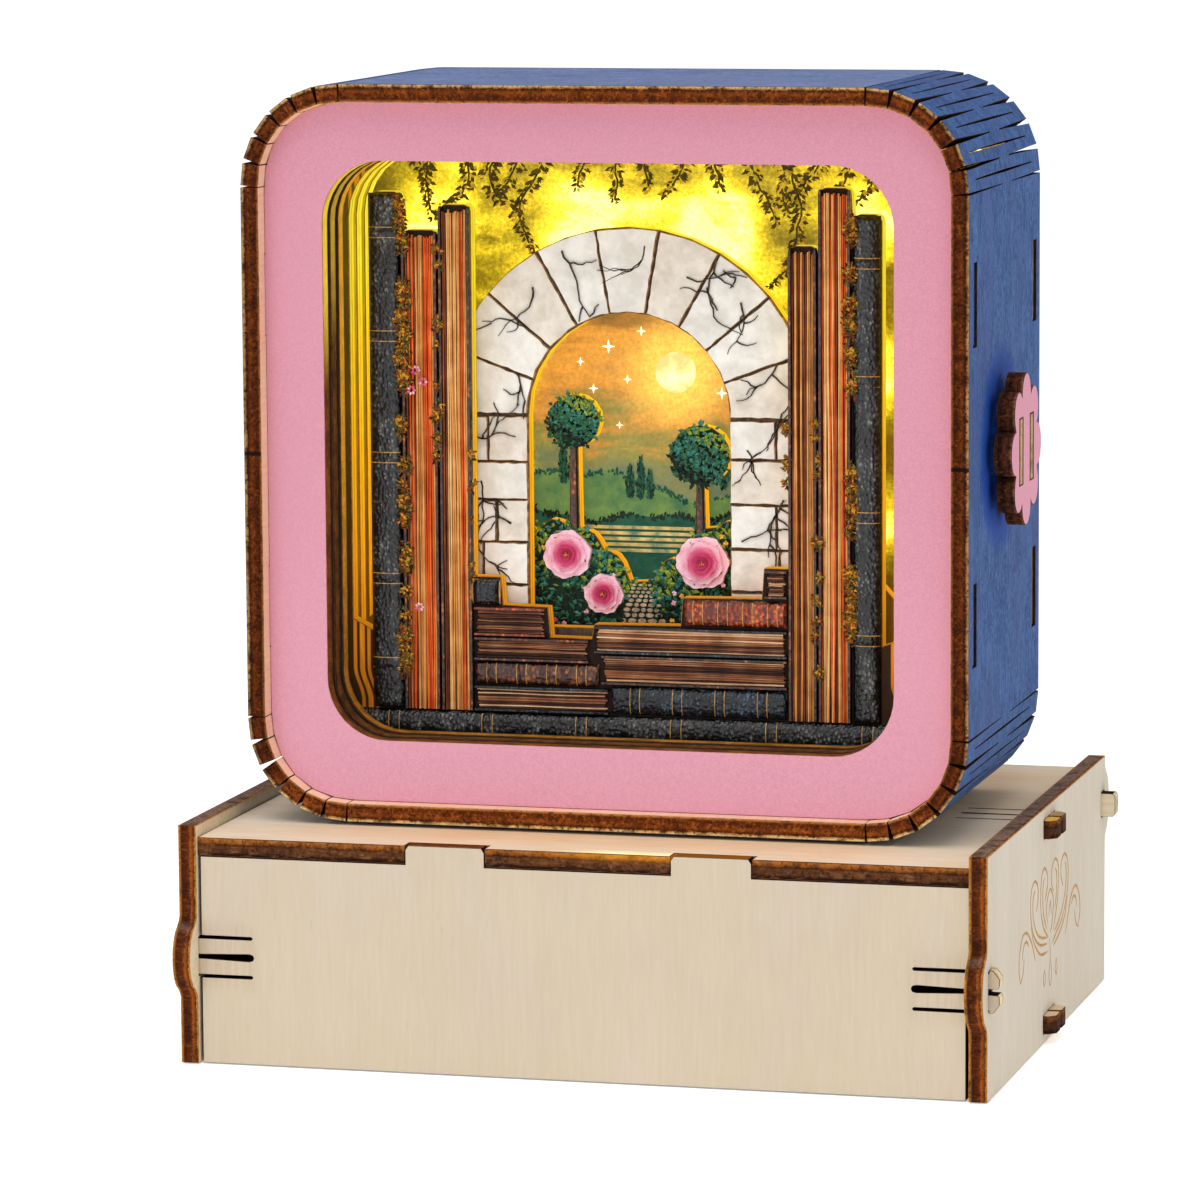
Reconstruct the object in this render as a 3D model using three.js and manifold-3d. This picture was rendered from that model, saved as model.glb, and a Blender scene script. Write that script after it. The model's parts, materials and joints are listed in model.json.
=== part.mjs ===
// Plywood shadow-box night light on a plywood base box.
// A rounded square light box stands on a low rectangular base. The box is wrapped by two
// kerf-bent plywood halves that meet at mid height, and holds a recessed front frame, a stack of
// cut-out picture boards, a diffuser and an LED board. A flower-shaped knob on the right side
// turns the dimmer. The base is six boards that clip together with split tongues, and holds the
// battery holder. Millimetres, +Z up, front face towards -Y, origin at the middle of the
// footprint on the surface that the base stands on.
import * as THREE from 'three';
import { mergeVertices } from 'three/addons/utils/BufferGeometryUtils.js';
import Module from 'manifold-3d';

const wasm = await Module();
wasm.setup();

// ---- driving dimensions -------------------------------------------------------------------
const T = 3;               // plywood thickness
const GAP = 0.15;          // laser kerf clearance on each side of a tab
// base box
const BW = 133, BD = 102, BH = 39;         // outside of the side plates, depth and height of them
const PANEL_Y = 50.2;                      // outer face of the front and back panels
const TOP_Z = 37, FLOOR_Z = 1.6;           // top of the top board, underside of the bottom board
const TONGUE_Z = 17.5, BACK_TONGUE_Z = 31;
const BOX_Y = -5;                          // the light box stands this far from the middle of the base
const NOTCH_IN = 15.2, NOTCH_OUT = 28.6;   // finger joint between panels and top board
const BULGE = 3.8, BULGE_HALF = 6.7;       // swelling of the side plates round the tongues
// light box
const LIFT = 0.6;                          // washer between base and light box
const ZB = TOP_Z + LIFT;                   // underside of the light box
const W = 120, H = 120, D = 58;            // outside of the light box
const RI = 13.8;                           // length of wall that one bent corner takes up, inside
const TURNS = [6, 15, 16, 16, 16, 15, 6].map((d) => d * Math.PI / 180);   // how far each kerf is bent
const FACETS = TURNS.length - 1;           // flat strips in one bent corner
const KERF = 0.07;
const RECESS = 3;                          // front frame and back panel sit this far in
const WIN = 47.2, WIN_Z = 60.3, WIN_R = 10;// window half size, centre height and corner radius
const TAB_LO = [28.1, 41.2], TAB_HI = [79.1, 92.2];  // tabs of the frame and back panel in the wrap
const TAB_DEEP = 0.45;                     // the tabs end this far below the wrap's surface
// depth of each board's front face
const Y_FRAME = -D / 2 + RECESS;           // pink front frame
const Y_F1 = -21.8, Y_F2 = -17.5;          // plain inner frames
const Y_L1 = -11.7, Y_L2 = -7.4, Y_L3 = -2.9;  // picture boards
const Y_DIFF = 1.6, DIFF_T = 2;            // diffuser sheet
const Y_PCB = 6.4, PCB_T = 1.2, CHIP_T = 0.8;
const Y_BACK = D / 2 - RECESS - T;         // back panel
// knob and dimmer
const KY = -4, KZ = ZB + 60.8;             // knob axis
const KNOB_GAP = 1.3, KNOB_R = 12.35, PETALS = 8, NOTCH_R = 9.3;
const TAB_PITCH = 8.7, TAB_H = 10.5, TAB_H_IN = 7.5;
const HUB_R = 8.2, HUB_HOLE = 8.6, SHAFT_R = 2.5;
// hollow threaded tube that joins the two boxes
const NX = 0, NY = 15, N_R = 4.9, N_BORE = 3.4;

// ---- colours --------------------------------------------------------------------------------
const mat = (c, r = 0.75, m = 0) => new THREE.MeshStandardMaterial({ color: c, roughness: r, metalness: m });
const M = {
  ply: () => mat(0xd9c8a6, 0.8), blue: () => mat(0x4a66a0, 0.7), pink: () => mat(0xdf9cb4, 0.75),
  edge: () => mat(0x5a3218, 0.85), books: () => mat(0x3a2418, 0.7), stone: () => mat(0xdedad2, 0.85),
  green: () => mat(0x2f6a4c, 0.7), acrylic: () => mat(0xf2c64a, 0.3), pcb: () => mat(0xf2f2ee, 0.5),
  led: () => mat(0xf6d27a, 0.3), black: () => mat(0x1c1c1e, 0.5), steel: () => mat(0xb9bcc0, 0.35, 0.9),
  brass: () => mat(0xc9a45a, 0.35, 0.9), red: () => mat(0xa92b24, 0.5), cell: () => mat(0x4e8a5c, 0.4),
  petal: () => mat(0xe07aa0, 0.7),
};

// the base box is centred on the origin; the light box and all that it holds is a group of its own,
// with the battery holder below it, set forward on the base
const root = new THREE.Group();
const lamp = new THREE.Group();
lamp.position.y = BOX_Y;
root.add(lamp);
const put = (group) => (name, geo, material) => {
  const m = new THREE.Mesh(geo, material);
  m.name = name;
  group.add(m);
  return m;
};
const addBase = put(root), add = put(lamp);

// ---- plate helpers: a flat outline pushed through the board's thickness -----------------------
const V = (x, y) => new THREE.Vector2(x, y);
const extrude = (shape, t, seg = 6) => new THREE.ExtrudeGeometry(shape, { depth: t, bevelEnabled: false, curveSegments: seg });
const onXY = (shape, z0, t = T, seg) => { const g = extrude(shape, t, seg); g.translate(0, 0, z0); return g; };
const onXZ = (shape, y0, t = T, seg) => {
  const g = extrude(shape, t, seg);
  g.applyMatrix4(new THREE.Matrix4().makeBasis(new THREE.Vector3(1, 0, 0), new THREE.Vector3(0, 0, 1), new THREE.Vector3(0, -1, 0)));
  g.translate(0, y0 + t, 0);
  return g;
};
const onYZ = (shape, x0, t = T, seg) => {
  const g = extrude(shape, t, seg);
  g.applyMatrix4(new THREE.Matrix4().makeBasis(new THREE.Vector3(0, 1, 0), new THREE.Vector3(0, 0, 1), new THREE.Vector3(1, 0, 0)));
  g.translate(x0, 0, 0);
  return g;
};
const poly = (pts) => new THREE.Shape(pts.map((p) => V(p[0], p[1])));
const hole = (shape, pts) => { shape.holes.push(new THREE.Path(pts.map((p) => V(p[0], p[1])))); return shape; };
const rectPts = (x0, y0, x1, y1) => [[x0, y0], [x1, y0], [x1, y1], [x0, y1]];
const circlePts = (cx, cy, r, n = 20, a0 = 0) => Array.from({ length: n }, (_, i) => [cx + r * Math.cos(a0 + 2 * Math.PI * i / n), cy + r * Math.sin(a0 + 2 * Math.PI * i / n)]);
const arcPts = (cx, cy, r, a0, a1, n) => Array.from({ length: n + 1 }, (_, i) => { const a = a0 + (a1 - a0) * i / n; return [cx + r * Math.cos(a), cy + r * Math.sin(a)]; });
const roundRect = (cx, cy, hx, hy, r, n = 6) => [
  ...arcPts(cx + hx - r, cy - hy + r, r, -Math.PI / 2, 0, n), ...arcPts(cx + hx - r, cy + hy - r, r, 0, Math.PI / 2, n),
  ...arcPts(cx - hx + r, cy + hy - r, r, Math.PI / 2, Math.PI, n), ...arcPts(cx - hx + r, cy - hy + r, r, Math.PI, 1.5 * Math.PI, n)];

// ---- manifold helpers --------------------------------------------------------------------------
const solid = (geo) => {
  const g = geo.clone();
  g.deleteAttribute('normal'); g.deleteAttribute('uv');
  const m = mergeVertices(g, 1e-5);
  return new wasm.Manifold(new wasm.Mesh({ numProp: 3, vertProperties: m.attributes.position.array, triVerts: new Uint32Array(m.index.array) }));
};
const geometry = (man) => {
  const mesh = man.getMesh();
  const g = new THREE.BufferGeometry();
  const n = mesh.numProp, pos = new Float32Array(mesh.vertProperties.length / n * 3);
  for (let i = 0; i < pos.length / 3; i++) for (let k = 0; k < 3; k++) pos[3 * i + k] = mesh.vertProperties[n * i + k];
  g.setAttribute('position', new THREE.BufferAttribute(pos, 3));
  g.setIndex(new THREE.BufferAttribute(new Uint32Array(mesh.triVerts), 1));
  g.computeVertexNormals();
  return g;
};
const boxAt = (x0, y0, z0, x1, y1, z1) => { const g = new THREE.BoxGeometry(x1 - x0, y1 - y0, z1 - z0); g.translate((x0 + x1) / 2, (y0 + y1) / 2, (z0 + z1) / 2); return g; };
const rod = (axis, r, from, to, a, b, n = 20) => {
  const g = new THREE.CylinderGeometry(r, r, to - from, n);
  if (axis === 'x') { g.rotateZ(-Math.PI / 2); g.translate((from + to) / 2, a, b); }
  if (axis === 'y') g.translate(a, (from + to) / 2, b);
  if (axis === 'z') { g.rotateX(Math.PI / 2); g.translate(a, b, (from + to) / 2); }
  return g;
};
// a tube: outline circle with a round hole, pushed along z, x or y
const ringXY = (cx, cy, ro, ri, z0, t, n = 20) => onXY(hole(poly(circlePts(cx, cy, ro, n)), circlePts(cx, cy, ri, n)), z0, t);
// an eight-cornered body from two quads, for tapering cutters
const hexa = (a, b) => {
  const p = [...a, ...b];
  const f = [[0, 1, 2, 3], [7, 6, 5, 4], [0, 4, 5, 1], [1, 5, 6, 2], [2, 6, 7, 3], [3, 7, 4, 0]];
  const pos = [];
  for (const q of f) for (const t of [[q[0], q[1], q[2]], [q[0], q[2], q[3]]]) for (const i of t) pos.push(...p[i]);
  const g = new THREE.BufferGeometry();
  g.setAttribute('position', new THREE.BufferAttribute(new Float32Array(pos), 3));
  const m = solidOrFlip(g, pos);
  return m;
};
const solidOrFlip = (g, pos) => {
  let m = solid(g);
  if (m.volume() < 0 || m.isEmpty()) {
    const q = [];
    for (let i = 0; i < pos.length; i += 9) q.push(...pos.slice(i, i + 3), ...pos.slice(i + 6, i + 9), ...pos.slice(i + 3, i + 6));
    const h = new THREE.BufferGeometry();
    h.setAttribute('position', new THREE.BufferAttribute(new Float32Array(q), 3));
    m = solid(h);
  }
  return m;
};

// ================= BASE BOX =====================================================================
// split tongue on the end of a board: returns the outline points from the board's edge out and back
// u is along the board's length outwards, v across it; edge is the u of the board's end, out is how far
// the tongue shows past the side plate, a is half its width and deep the length of the saw-thin kerfs
const tonguePts = (edge, c, side, { out = 1.7, a = 2.95, deep = 8.8 } = {}) => {
  const e = edge, s = BW / 2 + 0.12, o = BW / 2 + out, t = o - s, root0 = EX - deep;
  // lower prong then upper prong, going up in v
  const p = [
    [e, c - a - 0.5], [root0, c - a - 0.48], [root0 - 0.24, c - a - 0.24], [root0, c - a], [e, c - a],
    [s, c - a], [s + 0.05, c - a - 0.46], [s + 0.42 * t, c - a - 0.4], [o - 0.08, c - a + 0.75], [o, c - a + 0.95], [o, c - 0.9], [o - 0.25, c - 0.5],
    [e, c - 0.34], [root0 + 0.4, c - 0.6], [root0 - 0.25, c - 0.42], [root0 - 0.42, c], [root0 - 0.25, c + 0.42], [root0 + 0.4, c + 0.6], [e, c + 0.34],
    [o - 0.25, c + 0.5], [o, c + 0.9], [o, c + a - 0.95], [o - 0.08, c + a - 0.75], [s + 0.42 * t, c + a + 0.4], [s + 0.05, c + a + 0.46], [s, c + a],
    [e, c + a], [root0, c + a], [root0 - 0.24, c + a + 0.24], [root0, c + a + 0.48], [e, c + a + 0.5],
  ];
  return side > 0 ? p : p.map(([u, v]) => [-u, v]).reverse();
};
const singleTongue = (edge, c, side, { out = 2.4 } = {}) => {
  const o = BW / 2 + out, s = BW / 2 + 0.12;
  const p = [[edge, c - 2], [s, c - 2], [o - 0.4, c - 2], [o, c - 1.6], [o, c + 1.6], [o - 0.4, c + 2], [s, c + 2], [edge, c + 2]];
  return side > 0 ? p : p.map(([u, v]) => [-u, v]).reverse();
};
const WIDE = { out: 2.1, a: 4.6, deep: 11.2 };     // tongues of the two boards that lie flat
const EX = BW / 2 - T - 0.1;      // end of the boards, just inside the side plates

// loose: how much shorter the panel is than the space between the side plates, as
// [left end, right end below its tongue]; reach: how far its tongues show, left and right
const panel = (tongue, tz, loose = [0, 0], reach = [2.4, 2.4]) => {
  const topY = TOP_Z - T - 0.1, tabTop = TOP_Z;
  const fin = (a, b) => [[b, topY], [b, tabTop - 0.7], [b - 0.5, tabTop], [a + 0.5, tabTop], [a, tabTop - 0.7], [a, topY]];
  return poly([
    [-EX + loose[0], 0], [EX - loose[1], 0], ...tongue(EX - loose[1], tz, 1, { out: reach[1] }).slice(0, -1),
    ...tongue(EX, tz, 1, { out: reach[1] }).slice(-1), [EX, topY],
    ...fin(NOTCH_IN + GAP, NOTCH_OUT - GAP), ...fin(-NOTCH_OUT + GAP, -NOTCH_IN - GAP),
    [-EX + loose[0], topY], ...tongue(EX - loose[0], tz, -1, { out: reach[0] })]);
};
addBase('base_front_panel', onXZ(panel(tonguePts, TONGUE_Z, [0.4, 0.5], [1.25, 1.75]), -PANEL_Y), M.ply());
addBase('base_back_panel', onXZ(panel(singleTongue, BACK_TONGUE_Z), PANEL_Y - T), M.ply());

const sidePlate = () => {
  const h = BD / 2, b = BULGE, w = BULGE_HALF;
  // swelling profile, from low to high, as (offset, dz)
  const prof = [[0, -w], [0.35, -w + 0.7], [1.2, -w + 1.5], [2.3, -4.4], [3.2, -3.0], [3.7, -1.4], [b, 0], [3.7, 1.4], [3.2, 3.0], [2.3, 4.4], [1.2, w - 1.5], [0.35, w - 0.7], [0, w]];
  const s = poly([
    [-h, 0], [h, 0],
    ...prof.map(([o, z]) => [h + o, BACK_TONGUE_Z + z]),
    [h, BH], [-h, BH],
    ...[...prof].reverse().map(([o, z]) => [-h - o, TONGUE_Z + z])]);
  hole(s, rectPts(-PANEL_Y - GAP, TONGUE_Z - 3.15, -PANEL_Y + T + GAP, TONGUE_Z + 3.15));
  hole(s, rectPts(PANEL_Y - T - GAP, BACK_TONGUE_Z - 2.15, PANEL_Y + GAP, BACK_TONGUE_Z + 2.15));
  const sw = WIDE.a + 0.2;
  hole(s, rectPts(-sw, TOP_Z - T - GAP, sw, TOP_Z + GAP));
  hole(s, rectPts(-sw, FLOOR_Z - GAP, sw, FLOOR_Z + T + GAP));
  return s;
};
addBase('base_right_side', onYZ(sidePlate(), BW / 2 - T), M.ply());
addBase('base_left_side', onYZ(sidePlate(), -BW / 2), M.ply());

// boards that lie flat: outline in x, y
const lidNotch = (a, b, y, s) => [[a, y], [a + 0.0, y - s * (T + 0.15)], [b, y - s * (T + 0.15)], [b, y]];
{
  const y = PANEL_Y;
  const s = poly([
    [-EX, -y], ...lidNotch(-NOTCH_OUT, -NOTCH_IN, -y, -1), ...lidNotch(NOTCH_IN, NOTCH_OUT, -y, -1), [EX, -y],
    ...tonguePts(EX, 0, 1, WIDE), [EX, y],
    ...lidNotch(NOTCH_OUT, NOTCH_IN, y, 1), ...lidNotch(-NOTCH_IN, -NOTCH_OUT, y, 1), [-EX, y],
    ...tonguePts(EX, 0, -1, WIDE)]);
  hole(s, circlePts(NX, NY + BOX_Y, N_R + 0.2));
  addBase('base_top_board', onXY(s, TOP_Z - T), M.ply());
}
{
  const y = PANEL_Y - T - 0.2;
  const s = poly([[-EX, -y], [EX, -y], ...tonguePts(EX, 0, 1, WIDE), [EX, y], [-EX, y], ...tonguePts(EX, 0, -1, WIDE)]);
  hole(s, circlePts(-24, -12.5 + BOX_Y, 1.3, 12)); hole(s, circlePts(24, -12.5 + BOX_Y, 1.3, 12));
  addBase('base_bottom_board', onXY(s, FLOOR_Z), M.ply());
}

// battery holder for three AA cells lying along x, screwed to the bottom board
const CELL_R = 7.2, CELL_L = 50.3, PITCH = 15.4, HY = -12.5, HZ = FLOOR_Z + T + 0.1;
const HX = CELL_L / 2 + 4.6, CELL_Z = HZ + 1.6 + CELL_R + 0.3, SHIFT = 2.4;
const PLATE_X = HX - 1.65, PLATE_T = 0.4;
{
  const wall = 1.4, hy = 1.5 * PITCH + wall, hh = 13.2;
  let tray = solid(boxAt(-HX, HY - hy, HZ, HX, HY + hy, HZ + hh));
  for (let i = -1; i <= 1; i++) {
    tray = tray.subtract(solid(boxAt(-HX + 1.6, HY + i * PITCH - PITCH / 2 + 0.3, HZ + 1.6, HX - 1.6, HY + i * PITCH + PITCH / 2 - 0.3, HZ + hh + 2)));
  }
  // gaps in the dividing walls for the two bridging contacts
  tray = tray.subtract(solid(boxAt(-HX + 1.6, HY - PITCH / 2 - 2, HZ + 2.7, -HX + 2.6, HY - PITCH / 2 + 2, HZ + hh + 2)));
  tray = tray.subtract(solid(boxAt(HX - 2.6, HY + PITCH / 2 - 2, HZ + 2.7, HX - 1.6, HY + PITCH / 2 + 2, HZ + hh + 2)));
  for (const sx of [-24, 24]) {
    const sink = new THREE.LatheGeometry([V(0, -1), V(1.3, -1), V(1.3, 0.4), V(2.7, 1.7), V(2.7, 2), V(0, 2)], 14);
    sink.rotateX(Math.PI / 2); sink.translate(sx, HY, HZ);
    tray = tray.subtract(solid(sink));
    const g = new THREE.LatheGeometry([V(0, -T + 0.2), V(1.1, -T + 0.2), V(1.1, 0.35), V(2.35, 1.5), V(0, 1.5)], 14);
    g.rotateX(Math.PI / 2); g.translate(sx, HY, HZ);
    add(sx < 0 ? 'holder_screw_left' : 'holder_screw_right', g, M.steel());
  }
  add('battery_holder', geometry(tray), M.black());
  for (let i = -1; i <= 1; i++) {
    const flip = i ? -1 : 1;
    const prof = [[0, -CELL_L / 2 + 1], [CELL_R - 0.6, -CELL_L / 2 + 1], [CELL_R, -CELL_L / 2 + 1.6], [CELL_R, CELL_L / 2 - 2.2], [CELL_R - 0.8, CELL_L / 2 - 1.4], [2.7, CELL_L / 2 - 1.4], [2.7, CELL_L / 2], [0, CELL_L / 2]];
    const g = new THREE.LatheGeometry(prof.map((p) => V(p[0], p[1])), 20);
    g.rotateZ(-Math.PI / 2 * flip);
    g.translate(flip * SHIFT, HY + i * PITCH, CELL_Z);
    add(`battery_cell_${i + 2}`, g, M.cell());
  }
  // pressed contacts: a plate, with a conical coil where it meets the flat end of a cell
  const contact = (s, y0, y1, coilY) => {
    const xa = s * PLATE_X, xb = s * (PLATE_X - PLATE_T);
    let m = solid(boxAt(Math.min(xa, xb), y0, HZ + 3, Math.max(xa, xb), y1, HZ + 12.4));
    if (coilY !== null) {
      const from = s * (PLATE_X - PLATE_T / 2), to = s * (PLATE_X - PLATE_T - 5.5), turns = 3.25, n = 36, pts = [];
      for (let k = 0; k <= n; k++) {
        const f = k / n, a = f * turns * 2 * Math.PI, r = 4.4 - 2.2 * f;
        pts.push(new THREE.Vector3(from + (to - from) * f, coilY + r * Math.cos(a), CELL_Z + r * Math.sin(a)));
      }
      const g = new THREE.ExtrudeGeometry(poly(circlePts(0, 0, 0.35, 5)), { steps: n, extrudePath: new THREE.CatmullRomCurve3(pts), bevelEnabled: false });
      m = m.add(solid(g));
    }
    return geometry(m);
  };
  const yc = (i) => HY + i * PITCH;
  add('contact_bridge_left', contact(-1, yc(-1) - 4.5, yc(0) + 4.8, yc(0)), M.steel());
  add('contact_bridge_right', contact(1, yc(0) - 4.5, yc(1) + 4.8, yc(1)), M.steel());
  add('contact_positive', contact(-1, yc(1) - 4.5, yc(1) + 4.5, null), M.steel());
  add('contact_negative', contact(1, yc(-1) - 4.8, yc(-1) + 4.8, yc(-1)), M.steel());
}

// hollow threaded tube, two nuts and a spacing washer
add('joining_tube', ringXY(NX, NY, N_R, N_BORE, 30, 15, 24), M.brass());
const nut = (z0, t) => onXY(hole(poly(circlePts(NX, NY, 8, 6)), circlePts(NX, NY, N_R + 0.12, 24)), z0, t);
add('joining_nut_lower', nut(TOP_Z - T - 3.1, 3), M.brass());
add('joining_nut_upper', nut(ZB + T + 0.1, 3), M.brass());
add('spacer_washer', ringXY(NX, NY, 9, N_R + 0.15, TOP_Z + 0.02, LIFT - 0.04, 18), M.steel());

// ================= LIGHT BOX: KERF-BENT WRAP =====================================================
const HEAD = [0];                          // direction of each strip, from the wall round
for (const t of TURNS) HEAD.push(HEAD[HEAD.length - 1] + t);
let cs = 0; for (let k = 1; k <= FACETS; k++) cs += Math.cos(HEAD[k]);
const CH = RI / cs;                       // inside width of one facet
const hx = W / 2, zc0 = ZB, zc1 = ZB + H;
// inner vertices of the corner at the top right, from the right wall round to the top wall
const cornerInner = (() => {
  const pts = [[hx - T, zc1 - T - RI]];
  let [x, z] = pts[0];
  for (let k = 1; k <= FACETS; k++) { x -= CH * Math.sin(HEAD[k]); z += CH * Math.cos(HEAD[k]); pts.push([x, z]); }
  return pts;
})();
const dirOf = (k) => [-Math.sin(HEAD[k]), Math.cos(HEAD[k])];   // along facet k
const nrmOf = (k) => [Math.cos(HEAD[k]), Math.sin(HEAD[k])];    // outwards
// outer points: each facet's two outer corners
const cornerOuter = [];
for (let k = 0; k <= FACETS + 1; k++) {
  const n = nrmOf(k);
  if (k > 0) { const p = cornerInner[k - 1]; cornerOuter.push([p[0] + T * n[0], p[1] + T * n[1]]); }
  if (k <= FACETS) { const p = cornerInner[k]; cornerOuter.push([p[0] + T * n[0], p[1] + T * n[1]]); }
}
const mirrorX = (pts) => pts.map(([x, z]) => [-x, z]).reverse();
const mirrorZ = (pts) => pts.map(([x, z]) => [x, 2 * (ZB + H / 2) - z]).reverse();
const seam = ZB + H / 2;

const A_FRONT = 0.455, A_BACK = 0.585, B0 = 0.10, B1 = 0.887;
const yAt = (f) => -D / 2 + f * D;
const cornerCutters = () => {
  const cuts = [];
  for (let j = 0; j <= FACETS; j++) {
    const p = cornerInner[j], na = nrmOf(j), nb = nrmOf(j + 1), ta = dirOf(j), tb = dirOf(j + 1);
    // quad in the XZ plane: inner side, then outer side, with half widths wi and wo beyond the vee
    const quad = (y, open) => {
      const k = KERF / 2, far = T + 0.6, inn = -0.6;
      const mid = [(na[0] + nb[0]) / 2, (na[1] + nb[1]) / 2], ml = Math.hypot(...mid); mid[0] /= ml; mid[1] /= ml;
      const tg = [-mid[1], mid[0]];
      const pt = (u, v) => [p[0] + tg[0] * u + mid[0] * v, y, p[1] + tg[1] * u + mid[1] * v];
      const g = Math.tan(TURNS[j] / 2) * open;
      return [pt(-k, inn), pt(k, inn), pt(k + g * far, far), pt(-k - g * far, far)];
    };
    cuts.push(hexa(quad(-D / 2 - 1, 0.95), quad(yAt(A_FRONT), 0.12)));
    cuts.push(hexa(quad(yAt(A_BACK), 0.12), quad(D / 2 + 1, 0.95)));
  }
  for (let k = 1; k <= FACETS; k++) {
    const a = cornerInner[k - 1], n = nrmOf(k), t = dirOf(k);
    const c = [a[0] + t[0] * CH / 2, a[1] + t[1] * CH / 2];
    const ends = [[yAt(B0), 0.08], [yAt(0.3), 0.17], [yAt(0.5), 0.21], [yAt(0.7), 0.17], [yAt(B1), 0.08]];
    const out = [...ends, ...[...ends].reverse().map(([y, w]) => [y, -w])];
    const s = poly(out);
    const g = extrude(s, T + 1.2);
    g.applyMatrix4(new THREE.Matrix4().makeBasis(new THREE.Vector3(0, 1, 0), new THREE.Vector3(t[0], 0, t[1]), new THREE.Vector3(n[0], 0, n[1])));
    g.translate(c[0] - n[0] * 0.6, 0, c[1] - n[1] * 0.6);
    const m = solid(g);
    cuts.push(m.volume() > 0 ? m : solidOrFlip(g.index ? g.toNonIndexed() : g, [...(g.index ? g.toNonIndexed() : g).attributes.position.array]));
  }
  return cuts;
};
const cutters = cornerCutters();
const unite = (list) => list.reduce((a, b) => a.add(b));
const cutRT = unite(cutters);
const upperProfile = (() => {
  const right = cornerInner, rightOut = cornerOuter;
  const s = seam + 0.05;
  const outer = [[hx, s], ...rightOut, ...mirrorX(rightOut), [-hx, s]];
  const inner = [[-hx + T, s], ...mirrorX(right).reverse().reverse(), ...right.slice().reverse()];
  // inner runs from the left wall up, over and down the right wall
  const innerPath = [[-hx + T, s], ...right.map(([x, z]) => [-x, z]), ...right.slice().reverse(), [hx - T, s]];
  return poly([...outer, ...innerPath]);
})();
const wrapHalf = (upper) => {
  let m = solid(onXZ(upperProfile, -D / 2, D));
  m = m.subtract(cutRT).subtract(cutRT.mirror([1, 0, 0]));
  const z = upper ? TAB_HI : TAB_LO.map((v) => H - v).reverse();
  for (const s of [-1, 1]) for (const y of [Y_FRAME, Y_BACK]) {
    const x0 = s * (hx - T / 2);
    m = m.subtract(solid(boxAt(x0 - T, y - GAP, ZB + z[0] - GAP, x0 + T, y + T + GAP, ZB + z[1] + GAP)));
  }
  // this half's share of the round opening for the knob's hub, in the right wall
  if (!upper) m = m.translate([0, 0, -seam]).mirror([0, 0, 1]).translate([0, 0, seam]);
  m = m.subtract(solid(rod('x', HUB_HOLE, hx - T - 1, hx + 1, KY, KZ, 36)));
  if (!upper) {
    m = m.subtract(solid(rod('z', N_R + 0.2, ZB - 1, ZB + T + 1, NX, NY, 24)));
  }
  return geometry(m);
};
add('upper_wrap', wrapHalf(true), M.blue());
add('lower_wrap', wrapHalf(false), M.blue());

// ================= FRAMES AND PICTURE BOARDS =====================================================
const WZ = ZB + WIN_Z;
const INN = hx - T - 0.3;                 // boards stop just short of the wrap
// corner radius of the boards: 0.3 inside the circle that touches the two walls and the strips
const RO = Math.max(...cornerInner.slice(0, FACETS).map(([x, z], i) => {
  const n = nrmOf(i + 1);
  return -(n[0] * (x - hx + T) + n[1] * (z - zc1 + T)) / (n[0] + n[1] - 1);
})) - 0.27;
// outline of a board inside the wrap, with half-lap notches for the four rails
const RAIL_X = 25, NW = T / 2 + 0.2, ND = 3.9;
const boardOutline = ({ rails = true, dimmer = false } = {}) => {
  const cz = ZB + H / 2, hz = H / 2 - T - 0.3;
  const pts = [];
  const lo = cz - hz, hi = cz + hz;
  const railBottom = (x) => [[x - NW, lo], [x - NW, lo + ND], [x + NW, lo + ND], [x + NW, lo]];
  const railTop = (x) => [[x + NW, hi], [x + NW, hi - ND], [x - NW, hi - ND], [x - NW, hi]];
  if (rails) pts.push(...railBottom(-RAIL_X), ...railBottom(RAIL_X));
  pts.push(...arcPts(INN - RO, lo + RO, RO, -Math.PI / 2, 0, 6));
  if (dimmer) pts.push([INN, KZ - 13.6], [WIN + 1.3, KZ - 13.6], [WIN + 1.3, KZ + 13.6], [INN, KZ + 13.6]);
  pts.push(...arcPts(INN - RO, hi - RO, RO, 0, Math.PI / 2, 6));
  if (rails) pts.push(...railTop(RAIL_X), ...railTop(-RAIL_X));
  pts.push(...arcPts(-INN + RO, hi - RO, RO, Math.PI / 2, Math.PI, 6), ...arcPts(-INN + RO, lo + RO, RO, Math.PI, 1.5 * Math.PI, 6));
  return pts;
};
const tabbedOutline = () => {
  const cz = ZB + H / 2, hz = H / 2 - T - 0.3, lo = cz - hz, hi = cz + hz;
  const tab = (z, s) => { const a = ZB + z[0], b = ZB + z[1]; const o = hx - TAB_DEEP; return s > 0 ? [[INN, a], [o, a], [o, b], [INN, b]] : [[-INN, b], [-o, b], [-o, a], [-INN, a]]; };
  return [...arcPts(INN - RO, lo + RO, RO, -Math.PI / 2, 0, 6), ...tab(TAB_LO, 1), ...tab(TAB_HI, 1),
    ...arcPts(INN - RO, hi - RO, RO, 0, Math.PI / 2, 6), ...arcPts(-INN + RO, hi - RO, RO, Math.PI / 2, Math.PI, 6),
    ...tab(TAB_HI, -1), ...tab(TAB_LO, -1), ...arcPts(-INN + RO, lo + RO, RO, Math.PI, 1.5 * Math.PI, 6)];
};
const windowPts = (g = 0, n = 8) => roundRect(0, WZ, WIN + g, WIN + g, WIN_R + g, n);
add('front_frame', onXZ(hole(poly(tabbedOutline()), windowPts(0, 10)), Y_FRAME), M.pink());
add('inner_frame_1', onXZ(hole(poly(boardOutline()), windowPts()), Y_F1), M.edge());
add('inner_frame_2', onXZ(hole(poly(boardOutline()), windowPts()), Y_F2), M.edge());

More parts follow.
